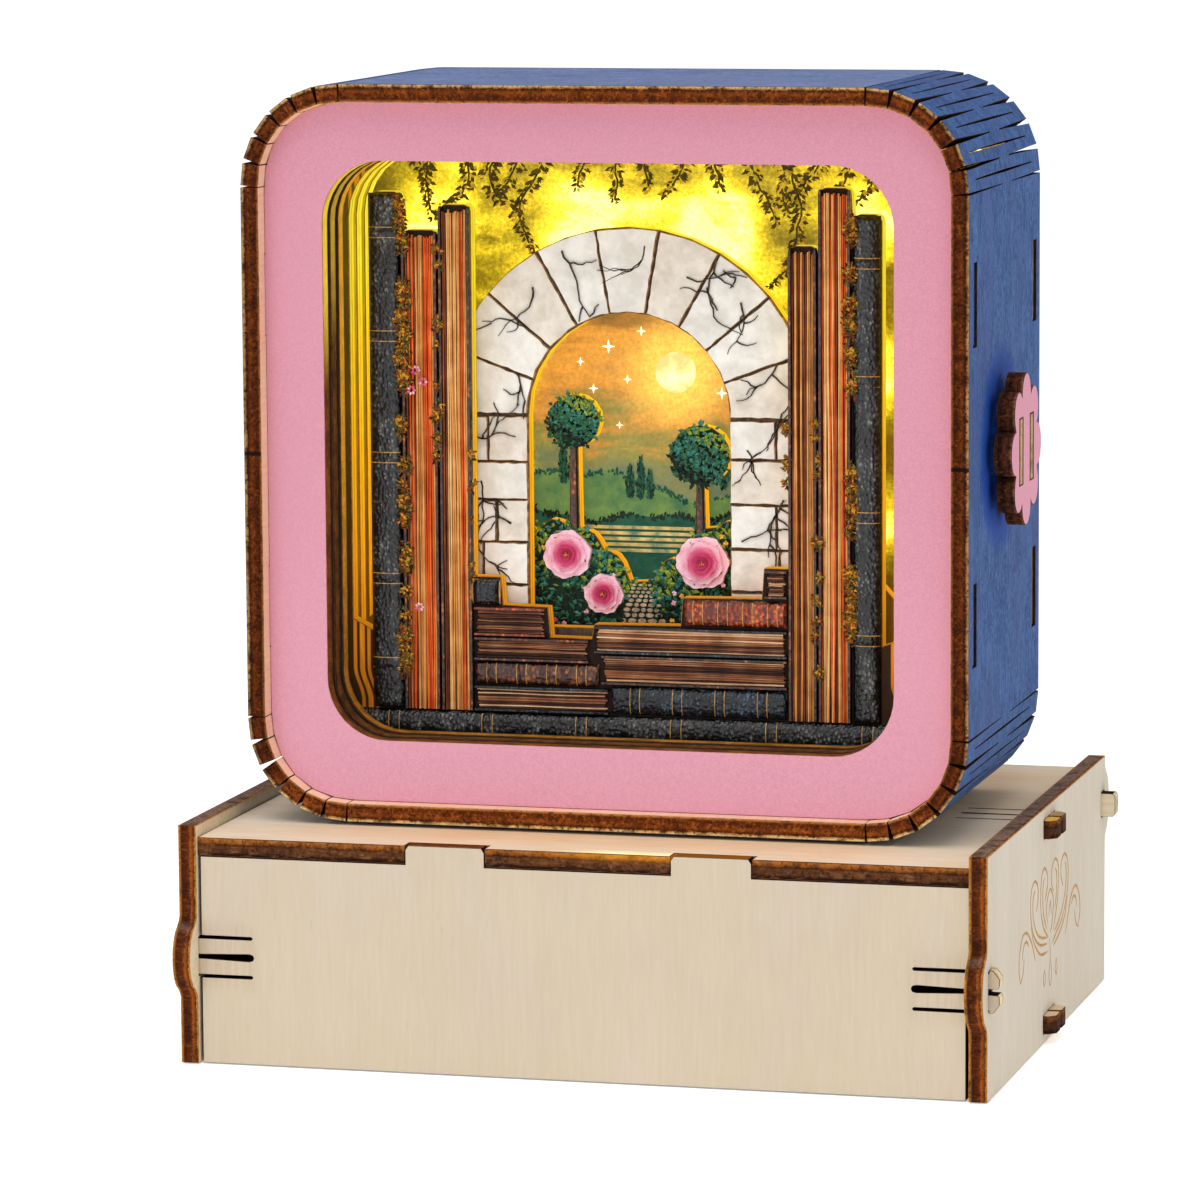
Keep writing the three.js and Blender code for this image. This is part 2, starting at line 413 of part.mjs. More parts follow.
// picture board 1: closed books standing left and right and lying below; z in light-box millimetres
const up = (pts) => pts.map(([x, z]) => [x, ZB + z]);
const WL = WIN_Z - WIN, WH = WIN_Z + WIN;
const topArc = (s) => (s < 0 ? arcPts(-WIN + WIN_R, WH - WIN_R, WIN_R, Math.PI, Math.PI / 2, 6) : arcPts(WIN - WIN_R, WH - WIN_R, WIN_R, Math.PI / 2, 0, 6));
// each standing book as [outer x, inner x, height of the top]; the top of a spine is softly rounded
const bookTop = (a, b, z, r = 1.1) => { const d = Math.sign(b - a) * r; return [[a, z - r], [a + 0.3 * d, z - 0.3 * r], [a + d, z], [b - d, z], [b - 0.3 * d, z - 0.3 * r], [b, z - r]]; };
const BOOKS_L = [[-43.4, -38.3, 101.6], [-38.1, -32.0, 95.4], [-31.8, -26.4, 99.6]];
const BOOKS_R = [[42.2, 37.4, 98.8], [37.2, 31.8, 103.0], [31.6, 26.8, 93.6]];
const VOID1 = [
  [-WIN, 31], [-WIN, WH - WIN_R], ...topArc(-1).slice(1), ...topArc(1), [WIN, 31], [42.2, 29],
  ...BOOKS_R.flatMap(([a, b, z]) => bookTop(a, b, z)), [26.8, 41.2],
  [22.6, 41.2], [22.2, 36.2], [9.0, 36.0], [8.6, 31.4], [-6.0, 31.2], [-6.4, 28.8], [-13.4, 28.9], [-13.8, 33.8], [-21.4, 34.0], [-21.8, 38.6], [-26.4, 38.6],
  ...[...BOOKS_L].reverse().flatMap(([a, b, z]) => bookTop(b, a, z)), [-43.4, 29],
];
add('picture_board_1', onXZ(hole(poly(boardOutline({ dimmer: true })), up(VOID1)), Y_L1), M.books());

// picture board 2: a free-standing stone arch
const ARC_IN = 17, ARC_OUT = 31, SPRING = 65, ACX = -1;
const VOID2_IN = [[ACX + ARC_IN, 30], ...arcPts(ACX, SPRING, ARC_IN, 0, Math.PI, 14), [ACX - ARC_IN, 30]];
const VOID2_OUT = [
  [-WIN, 24], [-WIN, WH - WIN_R], ...topArc(-1).slice(1), ...topArc(1), [WIN, 24], [ACX + ARC_OUT + 1, 24],
  [ACX + ARC_OUT + 1, 40], [ACX + ARC_OUT, 41], ...arcPts(ACX, SPRING, ARC_OUT, 0, Math.PI, 18), [ACX - ARC_OUT, 41], [ACX - ARC_OUT - 1, 40], [ACX - ARC_OUT - 1, 24],
];
{
  const s = poly(boardOutline({ dimmer: true }));
  hole(s, up(VOID2_IN)); hole(s, up(VOID2_OUT));
  add('picture_board_2', onXZ(s, Y_L2), M.stone());
}

// picture board 3: a garden seen through the arch: hedges that fall to a path, and two clipped trees
const scallop = (x0, x1, z0, z1, h, n) => {       // n bumps from x0 to x1 along a sloping line
  const out = [];
  for (let i = 0; i < n; i++) for (let k = 1; k <= 4; k++) {
    const f = (i + k / 4) / n, a = Math.PI * k / 4;
    out.push([x0 + (x1 - x0) * f, z0 + (z1 - z0) * f + h * Math.sin(a)]);
  }
  return out;
};
const clipped = (cx, cz, r, foot) => [            // ball tree, from its right foot round to its left foot
  [cx + 0.9, foot], [cx + 0.7, cz - r * 0.97], ...arcPts(cx, cz, r, -Math.PI / 2 + 0.25, 1.5 * Math.PI - 0.25, 14), [cx - 0.7, cz - r * 0.97], [cx - 0.9, foot]];
const VOID3 = [
  [-WIN, 30], [-WIN, WH - WIN_R], ...topArc(-1).slice(1), ...topArc(1), [WIN, 30],
  [40, 38], ...scallop(40, 12.6, 40, 46.6, 1.8, 5), ...clipped(9.8, 58.4, 5.0, 46.4), ...scallop(8.6, 2.2, 44, 38.2, 1.2, 2),
  [1.4, 37.4], [-2.2, 37.2], ...scallop(-2.4, -10.2, 38.4, 45.4, 1.4, 2), ...clipped(-11.6, 63.6, 4.4, 46.2), ...scallop(-12.8, -40, 46, 41, 1.8, 5), [-40, 37],
];
add('picture_board_3', onXZ(hole(poly(boardOutline({ dimmer: true })), up(VOID3)), Y_L3), M.green());

// small blossoms: thin cut-outs fixed in front of board 3
const blossom = (cx, cz, r, n, turn) => {
  const pts = [];
  for (let i = 0; i < n * 8; i++) {
    const a = i / (n * 8) * 2 * Math.PI, q = r * (0.6 + 0.4 * Math.abs(Math.cos(n * a / 2)) ** 0.55);
    pts.push([cx + q * Math.cos(a + turn), ZB + cz + q * Math.sin(a + turn)]);
  }
  return poly(pts);
};
add('blossom_left', onXZ(blossom(-12.6, 41.6, 4.4, 5, 0.3), Y_L3 - 2.1, 2), M.petal());
add('blossom_middle', onXZ(blossom(-6.4, 35.2, 3.6, 5, 0.9), Y_L3 - 2.1, 2), M.petal());
add('blossom_right', onXZ(blossom(10.4, 40.8, 4.8, 5, 0.1), Y_L3 - 2.1, 2), M.petal());

// diffuser sheet with its print
add('diffuser', onXZ(poly(boardOutline({ dimmer: true })), Y_DIFF, DIFF_T), M.acrylic());

// four comb rails that the boards drop into
{
  const slots = [[Y_F1, T], [Y_F2, T], [Y_L1, T], [Y_L2, T], [Y_L3, T], [Y_DIFF, DIFF_T]];
  const y0 = Y_F1 - 0.5, y1 = Y_DIFF + DIFF_T + 1.4;
  const lo = 3.1, mid = 3.3 + ND - 0.35, hiR = 10.4;
  const pts = [[y0, lo], [y1, lo], [y1, hiR]];
  for (const [y, t] of [...slots].reverse()) pts.push([y + t + 0.2, hiR], [y + t + 0.2, mid], [y - 0.2, mid], [y - 0.2, hiR]);
  if (y0 < Y_F1 - 0.2) pts.push([y0, hiR]);
  for (const [name, x, top] of [['rail_bottom_left', -RAIL_X, false], ['rail_bottom_right', RAIL_X, false], ['rail_top_left', -RAIL_X, true], ['rail_top_right', RAIL_X, true]]) {
    const q = pts.map(([y, z]) => [y, top ? ZB + H - z : ZB + z]);
    add(name, onYZ(poly(top ? q.reverse() : q), x - T / 2), M.ply());
  }
}

// LED board: 4 x 4 soldered chips, held off the back panel by four push-in posts
const POSTS = [['led_board_post_1', -44, -44], ['led_board_post_2', 44, -44], ['led_board_post_3', 44, 44], ['led_board_post_4', -44, 44]];
{
  const s = poly(roundRect(0, WZ, 50, 50, 4, 3));
  for (const [, x, z] of POSTS) hole(s, circlePts(x, WZ + z, 1.75, 12));
  let m = solid(onXZ(s, Y_PCB, PCB_T));
  for (let i = 0; i < 4; i++) for (let j = 0; j < 4; j++) {
    const x = -36 + i * 24, z = WZ - 36 + j * 24;
    m = m.add(solid(boxAt(x - 1.75, Y_PCB - CHIP_T, z - 1.4, x + 1.75, Y_PCB + 0.1, z + 1.4)));
  }
  add('led_board', geometry(m), M.pcb());
  // a post: barbed nose through the board, shoulder, shank, shoulder against the back panel, round head behind it
  const y = (v) => v - Y_PCB;
  const prof = [[0, y(Y_PCB - 2.3)], [0.8, y(Y_PCB - 2.3)], [2.1, y(Y_PCB - 0.15)], [1.5, y(Y_PCB - 0.05)], [1.5, y(Y_PCB + PCB_T + 0.05)], [3.2, y(Y_PCB + PCB_T + 0.05)],
    [3.2, y(Y_BACK - 0.05)], [1.5, y(Y_BACK - 0.05)], [1.5, y(Y_BACK + T + 0.05)], [3.1, y(Y_BACK + T + 0.05)], [3.1, y(Y_BACK + T + 0.6)], [2.2, y(Y_BACK + T + 1.5)], [0, y(Y_BACK + T + 1.7)]];
  for (const [name, x, z] of POSTS) {
    const g = new THREE.LatheGeometry(prof.map((p) => V(p[0], p[1])), 10);
    g.translate(x, Y_PCB, WZ + z);
    add(name, g, M.pcb());
  }
}

// back panel with its tabs, four post holes and vent slots
{
  const s = poly(tabbedOutline());
  for (const [, x, z] of POSTS) hole(s, circlePts(x, WZ + z, 1.75, 12));
  for (let i = -2; i <= 2; i++) hole(s, roundRect(i * 9, ZB + 96, 1.6, 7, 1.3, 1));
  add('back_panel', onXZ(s, Y_BACK), M.blue());
}

// ================= KNOB AND DIMMER ================================================================
const KX = hx + KNOB_GAP;                       // back of the knob
const flowerPts = () => {
  const s = Math.PI / PETALS;
  const nx = NOTCH_R * Math.cos(s), ny = NOTCH_R * Math.sin(s);
  const rc = (KNOB_R ** 2 - nx * nx - ny * ny) / (2 * (KNOB_R - nx)), rp = KNOB_R - rc;
  const half = Math.atan2(ny, nx - rc);
  const pts = [];
  for (let i = 0; i < PETALS; i++) {
    const a = 2 * Math.PI * i / PETALS;
    for (let k = 0; k < 9; k++) {
      const b = -half + 2 * half * k / 9 + (k === 0 ? 0 : 0);
      const x = rc + rp * Math.cos(b), y = rp * Math.sin(b);
      pts.push([KY + x * Math.cos(a) - y * Math.sin(a), KZ + x * Math.sin(a) + y * Math.cos(a)]);
    }
  }
  return pts;
};
{
  let m = solid(onYZ(poly(flowerPts()), KX, T));
  for (const o of [-1, 1]) {
    const y = KY + o * TAB_PITCH / 2;
    m = m.subtract(solid(boxAt(KX - 1, y - T / 2 - GAP, KZ - TAB_H / 2 - GAP, KX + T + 1, y + T / 2 + GAP, KZ + TAB_H / 2 + GAP)));
  }
  add('flower_knob', geometry(m), M.pink());
  for (const [name, o] of [['knob_tab_front', -1], ['knob_tab_rear', 1]]) {
    const y = KY + o * TAB_PITCH / 2;
    const x0 = KX - 2.7, xs = KX - 0.05, x1 = KX + T;
    const q = poly([[x0, KZ - TAB_H_IN / 2], [xs, KZ - TAB_H_IN / 2], [xs, KZ - TAB_H / 2], [x1, KZ - TAB_H / 2], [x1, KZ + TAB_H / 2], [xs, KZ + TAB_H / 2], [xs, KZ + TAB_H_IN / 2], [x0, KZ + TAB_H_IN / 2]]);
    add(name, onXZ(q, y - T / 2), M.ply());
  }
  let hub = solid(onYZ(hole(poly(circlePts(KY, KZ, HUB_R, 36)), circlePts(KY, KZ, SHAFT_R + 0.06, 24)), KX - 2.8, 2.7));
  for (const o of [-1, 1]) {
    const y = KY + o * TAB_PITCH / 2;
    hub = hub.subtract(solid(boxAt(KX - 4, y - T / 2 - 0.1, KZ - TAB_H_IN / 2 - 0.1, KX + 1, y + T / 2 + 0.1, KZ + TAB_H_IN / 2 + 0.1)));
  }
  add('knob_hub', geometry(hub), M.ply());
  add('dimmer_shaft', rod('x', SHAFT_R, hx - T + 1.55, KX - 0.15, KY, KZ, 24), M.steel());
}
{
  const bx = hx - T - 0.1 - T;                  // bracket against the inside of the wrap, across the seam
  const b = poly(roundRect(KY, KZ, 9, 12.8, 1.5, 2));
  hole(b, circlePts(KY, KZ, 3.6, 20));
  add('dimmer_bracket', onYZ(b, bx, T), M.ply());
  // body: a block with three pins and a round threaded neck that goes through the bracket
  let m = solid(boxAt(bx - 5.1, KY - 4.6, KZ - 5.6, bx - 0.1, KY + 4.6, KZ + 5.6));
  m = m.add(solid(rod('x', 3.4, bx - 0.6, bx + T + 1.5, KY, KZ, 20)));
  for (let i = -1; i <= 1; i++) m = m.add(solid(boxAt(bx - 3.4, KY + i * 2.5 - 0.4, KZ - 9.4, bx - 3.0, KY + i * 2.5 + 0.4, KZ - 5.4)));
  add('dimmer_body', geometry(m), M.black());
  add('dimmer_nut', onYZ(hole(poly(circlePts(KY, KZ, 5.4, 6)), circlePts(KY, KZ, 3.5, 20)), bx + T + 0.05, 1.4), M.steel());
}

// leads: from the holder through the joining tube, one to the dimmer and one to the LED board
const lead = (pts, steps = 40, r = 0.7) => {
  const path = new THREE.CatmullRomCurve3(pts.map((p) => new THREE.Vector3(...p)), false, 'centripetal');
  return new THREE.ExtrudeGeometry(poly(circlePts(0, 0, r, 8)), { steps, extrudePath: path, bevelEnabled: false });
};
const PIN_X = hx - T - 0.1 - T - 3.2;
add('battery_lead_red', lead([
  [-PLATE_X + 0.2, HY + PITCH, HZ + 14], [-26.6, 4.5, HZ + 18], [-20, 10, 27], [-9, NY - 0.6, 26.6], [-1.6, NY, 29], [-1.2, NY, 34], [-1.2, NY, 42], [-0.6, NY, ZB + 10],
  [7, 14.6, ZB + 15], [24, 13.6, ZB + 19], [42, 13, ZB + 26], [51.4, 11.5, ZB + 36], [53.2, 8.6, ZB + 45.4], [52.9, 5.2, ZB + 49.7], [52.6, 1, ZB + 50.6], [PIN_X, KY + 2.5, ZB + 50.5]], 36), M.red());
add('battery_lead_black', lead([
  [PLATE_X - 0.2, HY - PITCH, HZ + 14], [26, -24.6, HZ + 17.6], [20, -12, 25.4], [11, 4, 26.4], [4, 13, 26.8], [1.6, NY, 29], [1.2, NY, 34], [1.2, NY, 42], [1.8, NY, ZB + 9],
  [8, 13, ZB + 12], [22, 11.6, ZB + 14.6], [33, 10.4, ZB + 18], [36, 8.7, ZB + 22]], 30), M.black());
add('led_lead', lead([
  [PIN_X, KY - 2.5, ZB + 50.5], [PIN_X + 0.2, -5.6, ZB + 48.8], [PIN_X + 0.2, -2, ZB + 48.1], [PIN_X + 0.2, 2.6, ZB + 48.1], [51.4, 6.6, ZB + 46.9], [50.4, 10.2, ZB + 44], [46, 10.8, ZB + 43.4], [42.5, 8.7, ZB + 43.4]], 18), M.red());

export default root;
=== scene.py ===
import json
import math
import random

import bmesh
import bpy
from mathutils import Matrix, Vector

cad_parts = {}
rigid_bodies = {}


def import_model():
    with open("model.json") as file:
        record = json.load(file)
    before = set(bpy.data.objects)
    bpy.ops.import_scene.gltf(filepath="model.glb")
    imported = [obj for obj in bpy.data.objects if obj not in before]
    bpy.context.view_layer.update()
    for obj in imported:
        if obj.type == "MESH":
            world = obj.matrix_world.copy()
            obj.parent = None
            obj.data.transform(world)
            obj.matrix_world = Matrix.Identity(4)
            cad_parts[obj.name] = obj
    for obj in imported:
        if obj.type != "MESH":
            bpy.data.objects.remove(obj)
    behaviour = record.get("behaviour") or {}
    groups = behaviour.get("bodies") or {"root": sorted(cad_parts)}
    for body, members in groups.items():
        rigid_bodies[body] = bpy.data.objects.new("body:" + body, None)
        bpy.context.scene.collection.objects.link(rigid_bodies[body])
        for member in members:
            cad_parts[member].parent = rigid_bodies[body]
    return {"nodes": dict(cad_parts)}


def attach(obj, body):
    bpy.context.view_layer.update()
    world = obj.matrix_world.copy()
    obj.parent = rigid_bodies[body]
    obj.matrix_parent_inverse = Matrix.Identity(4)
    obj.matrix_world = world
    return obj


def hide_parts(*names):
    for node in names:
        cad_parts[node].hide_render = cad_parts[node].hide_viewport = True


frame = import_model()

# Plywood shadow-box night light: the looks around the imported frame. Helper functions take
# millimetres in the frame's own axes and write metres. "zb" below is the underside of the light
# box, and picture heights are given above it.
for o in list(bpy.data.objects):
    if o.name in ("Cube", "Light", "Camera"):
        bpy.data.objects.remove(o, do_unlink=True)
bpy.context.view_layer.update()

MM = 0.001
ZB = 37.6
CZ = ZB + 60.0
BOX_Y = -5.0          # the light box stands this far forward; its pieces are drawn about its own middle
T = 3.0
rng = random.Random(20)


# =============================================================================================
# materials
# =============================================================================================
def lin(r, g, b):
    def f(v):
        v /= 255.0
        return v / 12.92 if v <= 0.04045 else ((v + 0.055) / 1.055) ** 2.4
    return (f(r), f(g), f(b), 1.0)


class G:
    """A node graph for one material."""

    def __init__(self, name):
        self.m = bpy.data.materials.new(name)
        self.m.use_nodes = True
        self.t = self.m.node_tree
        self.t.nodes.clear()
        self.out = self.t.nodes.new("ShaderNodeOutputMaterial")
        self.coord = self.t.nodes.new("ShaderNodeTexCoord").outputs["Object"]

    def n(self, kind):
        return self.t.nodes.new(kind)

    def put(self, sock, v):
        if isinstance(v, bpy.types.NodeSocket):
            self.t.links.new(v, sock)
        elif v is not None:
            sock.default_value = v

    def map(self, scale, loc=(0, 0, 0), rot=(0, 0, 0), src=None):
        k = self.n("ShaderNodeMapping")
        self.put(k.inputs["Vector"], src if src is not None else self.coord)
        k.inputs["Scale"].default_value = scale
        k.inputs["Location"].default_value = loc
        k.inputs["Rotation"].default_value = rot
        return k.outputs[0]

    def noise(self, vec, scale=1.0, detail=3.0, rough=0.55, dist=0.0):
        k = self.n("ShaderNodeTexNoise")
        self.put(k.inputs["Vector"], vec)
        k.inputs["Scale"].default_value = scale
        k.inputs["Detail"].default_value = detail
        k.inputs["Roughness"].default_value = rough
        k.inputs["Distortion"].default_value = dist
        return k.outputs["Fac"]

    def voronoi(self, vec, scale=1.0, feature="F1", out="Distance"):
        k = self.n("ShaderNodeTexVoronoi")
        k.feature = feature
        self.put(k.inputs["Vector"], vec)
        k.inputs["Scale"].default_value = scale
        return k.outputs[out]

    def ramp(self, fac, stops, interp="LINEAR"):
        k = self.n("ShaderNodeValToRGB")
        self.put(k.inputs["Fac"], fac)
        r = k.color_ramp
        r.interpolation = interp
        while len(r.elements) < len(stops):
            r.elements.new(0.5)
        for e, (p, c) in zip(r.elements, stops):
            e.position = p
            e.color = c if len(c) == 4 else (c[0], c[1], c[2], 1)
        return k.outputs["Color"]

    def mix(self, fac, a, b, mode="MIX"):
        k = self.n("ShaderNodeMix")
        k.data_type = "RGBA"
        k.blend_type = mode
        self.put(k.inputs[0], fac)
        self.put(k.inputs[6], a)
        self.put(k.inputs[7], b)
        return k.outputs[2]

    def math(self, op, a, b=None, c=None, clamp=False):
        k = self.n("ShaderNodeMath")
        k.operation = op
        k.use_clamp = clamp
        self.put(k.inputs[0], a)
        if b is not None:
            self.put(k.inputs[1], b)
        if c is not None:
            self.put(k.inputs[2], c)
        return k.outputs[0]

    def span(self, v, a, b, lo=0.0, hi=1.0, kind="SMOOTHSTEP"):
        k = self.n("ShaderNodeMapRange")
        k.interpolation_type = kind
        self.put(k.inputs["Value"], v)
        k.inputs["From Min"].default_value = a
        k.inputs["From Max"].default_value = b
        k.inputs["To Min"].default_value = lo
        k.inputs["To Max"].default_value = hi
        return k.outputs["Result"]

    def xyz(self, src=None):
        k = self.n("ShaderNodeSeparateXYZ")
        self.put(k.inputs[0], src if src is not None else self.coord)
        return k.outputs[0], k.outputs[1], k.outputs[2]

    def attr(self, name):
        k = self.n("ShaderNodeAttribute")
        k.attribute_name = name
        return k.outputs["Fac"]

    def bump(self, height, strength, dist, normal=None):
        k = self.n("ShaderNodeBump")
        k.inputs["Strength"].default_value = strength
        k.inputs["Distance"].default_value = dist
        self.put(k.inputs["Height"], height)
        if normal is not None:
            self.put(k.inputs["Normal"], normal)
        return k.outputs[0]

    def shade(self, color, rough=0.7, bump=None, spec=0.35, metal=0.0, emit=None, power=0.0, rough_sock=None, sheen=0.0, coat=0.0):
        p = self.n("ShaderNodeBsdfPrincipled")
        self.put(p.inputs["Base Color"], color)
        p.inputs["Roughness"].default_value = rough
        if rough_sock is not None:
            self.put(p.inputs["Roughness"], rough_sock)
        p.inputs["Specular IOR Level"].default_value = spec
        p.inputs["Metallic"].default_value = metal
        p.inputs["Sheen Weight"].default_value = sheen
        p.inputs["Coat Weight"].default_value = coat
        if bump is not None:
            self.put(p.inputs["Normal"], bump)
        if emit is not None:
            self.put(p.inputs["Emission Color"], emit)
            self.put(p.inputs["Emission Strength"], power)
        self.t.links.new(p.outputs[0], self.out.inputs[0])
        return self.m


AXIS = {"x": 0, "y": 1, "z": 2}


def scaled(axis, along, across):
    s = [across] * 3
    s[AXIS[axis]] = along
    return tuple(s)


def bare_ply(name, grain, dark, mid, light, seed=0.0, stain=None, calm=1.0, extra=None, spill=None):
    """Unpainted basswood face: fine fibres along the grain, wide faint bands, pores, blotches."""
    g = G(name)
    off = (seed * 0.37, seed * 0.21, seed * 0.53)
    fibre = g.noise(g.map(scaled(grain, 110, 1500), off), 1, 4, 0.6, 0.25)
    band = g.noise(g.map(scaled(grain, 9, 120), off), 1, 3, 0.55, 0.6)
    blot = g.noise(g.map((42, 42, 42), off), 1, 3, 0.55)
    f = g.math("ADD", g.math("MULTIPLY", fibre, 0.5), g.math("MULTIPLY", band, 0.28))
    f = g.math("ADD", f, g.math("MULTIPLY", blot, 0.22))
    col = g.ramp(f, [(0.34, dark), (0.5, mid), (0.66, light)])
    pore = g.noise(g.map(scaled(grain, 260, 3000), off), 1, 2, 0.5)
    pm = g.ramp(pore, [(0.66, (0, 0, 0, 1)), (0.76, (1, 1, 1, 1))])
    pm = g.math("MULTIPLY", pm, g.ramp(g.noise(g.map((95, 95, 95), off), 1, 2), [(0.46, (0, 0, 0, 1)), (0.62, (0.22 * calm, 0.22 * calm, 0.22 * calm, 1))]))
    col = g.mix(pm, col, (dark[0] * 0.62, dark[1] * 0.54, dark[2] * 0.44, 1))
    if stain:
        col = g.mix(g.span(g.noise(g.map(scaled(grain, 19 * stain[2], 19 * stain[3]), (3 + seed, 1, 2)), 1, 3, 0.6), 0.5 - stain[4], 0.72 - stain[4], 0, stain[1]), col, stain[0], "MULTIPLY")
    if extra:
        col = extra(g, col, fibre)
    h = g.math("ADD", g.math("MULTIPLY", fibre, 0.7), g.math("MULTIPLY", pore, -0.3))
    if spill:
        return g.shade(col, 0.74, g.bump(h, 0.16 * calm, 0.0001), spec=0.22, emit=spill(g, fibre), power=1.0)
    return g.shade(col, 0.74, g.bump(h, 0.16 * calm, 0.0001), spec=0.22)


def burnt(name, thick, veneer, glue, core, fleck, char, stria=0.35, outer=None, layer=0.17, glow=None, flat=False):
    """Laser-cut plywood edge. The attribute "ply" runs from 0 at the inner face to 1 at the outer
    face, and gives the veneers, glue lines and core; "thick" is the axis of the board's thickness."""
    g = G(name)
    along = g.map(scaled(thick, 3400, 420))
    fine = g.noise(along, 1, 4, 0.62, 0.3)
    beam = g.noise(g.map(scaled(thick, 260, 3300)), 1, 3, 0.55)
    cloud = g.noise(g.map((260, 260, 260)), 1, 3, 0.6)
    ply = g.attr("ply")
    ply = g.math("ADD", ply, g.math("MULTIPLY", g.math("SUBTRACT", cloud, 0.5), 0.10))
    out = outer or veneer
    lay = g.ramp(ply, [(0.0, veneer), (max(layer - 0.05, 0.01), veneer), (layer, glue), (layer + 0.08, core), (0.5, core),
                       (0.92 - layer, core), (1.0 - layer, glue), (1.05 - layer, out), (1.0, out)])
    col = g.mix(g.ramp(fine, [(0.5, (0, 0, 0, 1)), (0.68, (0.75, 0.75, 0.75, 1))]), lay, fleck)
    col = g.mix(g.ramp(beam, [(0.34, (stria, stria, stria, 1)), (0.52, (0, 0, 0, 1))]), col, char)
    col = g.mix(g.ramp(cloud, [(0.36, (0.6, 0.6, 0.6, 1)), (0.56, (0, 0, 0, 1))]), col, char)
    h = g.math("ADD", g.math("MULTIPLY", fine, 0.5), beam)
    b = g.bump(h, 0.5, 0.00018)
    if glow:
        return g.shade(col, 0.8, b, spec=0.2, emit=glow(g, ply, fine), power=1.0)
    return g.shade(col, 0.78, b, spec=0.22)


def charred(name, stops, fleck, char, beam="y", speck=0.7, top=None, mark=None, fleck_amt=0.6, grit=2300, run=500, tone=None, spill=None):
    """Laser-cut edge seen close: layered colours across the sheet, broken by light and dark specks.
    "beam" is the axis the cut ran along; "stops" run from the low face (0) to the high face (1)."""
    g = G(name)
    speckle = g.noise(g.map((grit, grit, grit)), 1, 3, 0.65)
    streak = g.noise(g.map(scaled(beam, run, 2100)), 1, 3, 0.6, 0.3)
    blot = g.noise(g.map((380, 380, 380)), 1, 4, 0.62)
    ply = g.math("ADD", g.attr("ply"), g.math("MULTIPLY", g.math("SUBTRACT", blot, 0.5), 0.16))
    ply = g.math("ADD", ply, g.math("MULTIPLY", g.math("SUBTRACT", speckle, 0.5), 0.14))
    col = g.ramp(ply, stops)
    # painted light: edges that face upward are mixed towards the paler, greyer colour given as top
    if top:
        k = g.n("ShaderNodeNewGeometry")
        nz = g.xyz(k.outputs["Normal"])[2]
        col = g.mix(g.math("MULTIPLY", g.span(nz, 0.6, 0.9, 0, 0.85), g.ramp(ply, [(0.06, (0, 0, 0, 1)), (0.14, (1, 1, 1, 1)), (0.80, (1, 1, 1, 1)), (0.88, (0, 0, 0, 1))])), col, top)
    col = g.mix(g.ramp(streak, [(0.5, (0, 0, 0, 1)), (0.7, (fleck_amt, fleck_amt, fleck_amt, 1))]), col, fleck)
    col = g.mix(g.ramp(speckle, [(0.34, (speck, speck, speck, 1)), (0.5, (0, 0, 0, 1))]), col, char)
    col = g.mix(g.ramp(blot, [(0.36, (0.6, 0.6, 0.6, 1)), (0.52, (0, 0, 0, 1))]), col, char)
    if tone:
        col = tone(g, col)
    if mark:
        col = g.mix(mark(g), col, lin(18, 10, 7))
    h = g.math("ADD", g.math("MULTIPLY", speckle, 0.6), streak)
    if spill:
        return g.shade(col, 0.82, g.bump(h, 0.4, 0.00015), spec=0.06, emit=spill(g, streak), power=1.0)
    return g.shade(col, 0.82, g.bump(h, 0.4, 0.00015), spec=0.06)


def print_coat(name, base, spread, tone=None, rough=0.72, spec=0.16):
    """Printed colour on wood: a fine speckle, a very slow drift of tone, and painted light and shade by height, paler
    towards the bottom and darker towards the top.
    """
    g = G(name)
    grit = g.noise(g.map((3400, 3400, 3400)), 1, 3, 0.75)
    slow = g.noise(g.map((30, 30, 30)), 1, 2, 0.5)
    lo, hi = [c * (1 - spread) for c in base[:3]], [c * (1 + spread) for c in base[:3]]
    col = g.ramp(grit, [(0.34, tuple(lo) + (1,)), (0.5, base), (0.66, tuple(hi) + (1,))])
    col = g.mix(g.span(slow, 0.35, 0.65, 0, 0.35), col, tone or base)
    z = g.xyz()[2]
    # painted light and shade: the coat is multiplied paler and cooler towards the bottom and darker towards the top
    height_shade = g.ramp(g.span(z, 0.037, 0.157, 0.0, 1.0, "LINEAR"), [(0.03, (0.97, 1.07, 1.10, 1)), (0.16, (0.89, 0.94, 0.955, 1)), (0.42, (0.815, 0.835, 0.84, 1)), (1.0, (0.77, 0.77, 0.79, 1))])
    col = g.mix(1.0, col, height_shade, "MULTIPLY")
    return g.shade(col, rough, g.bump(grit, 0.12, 0.00008), spec=spec)


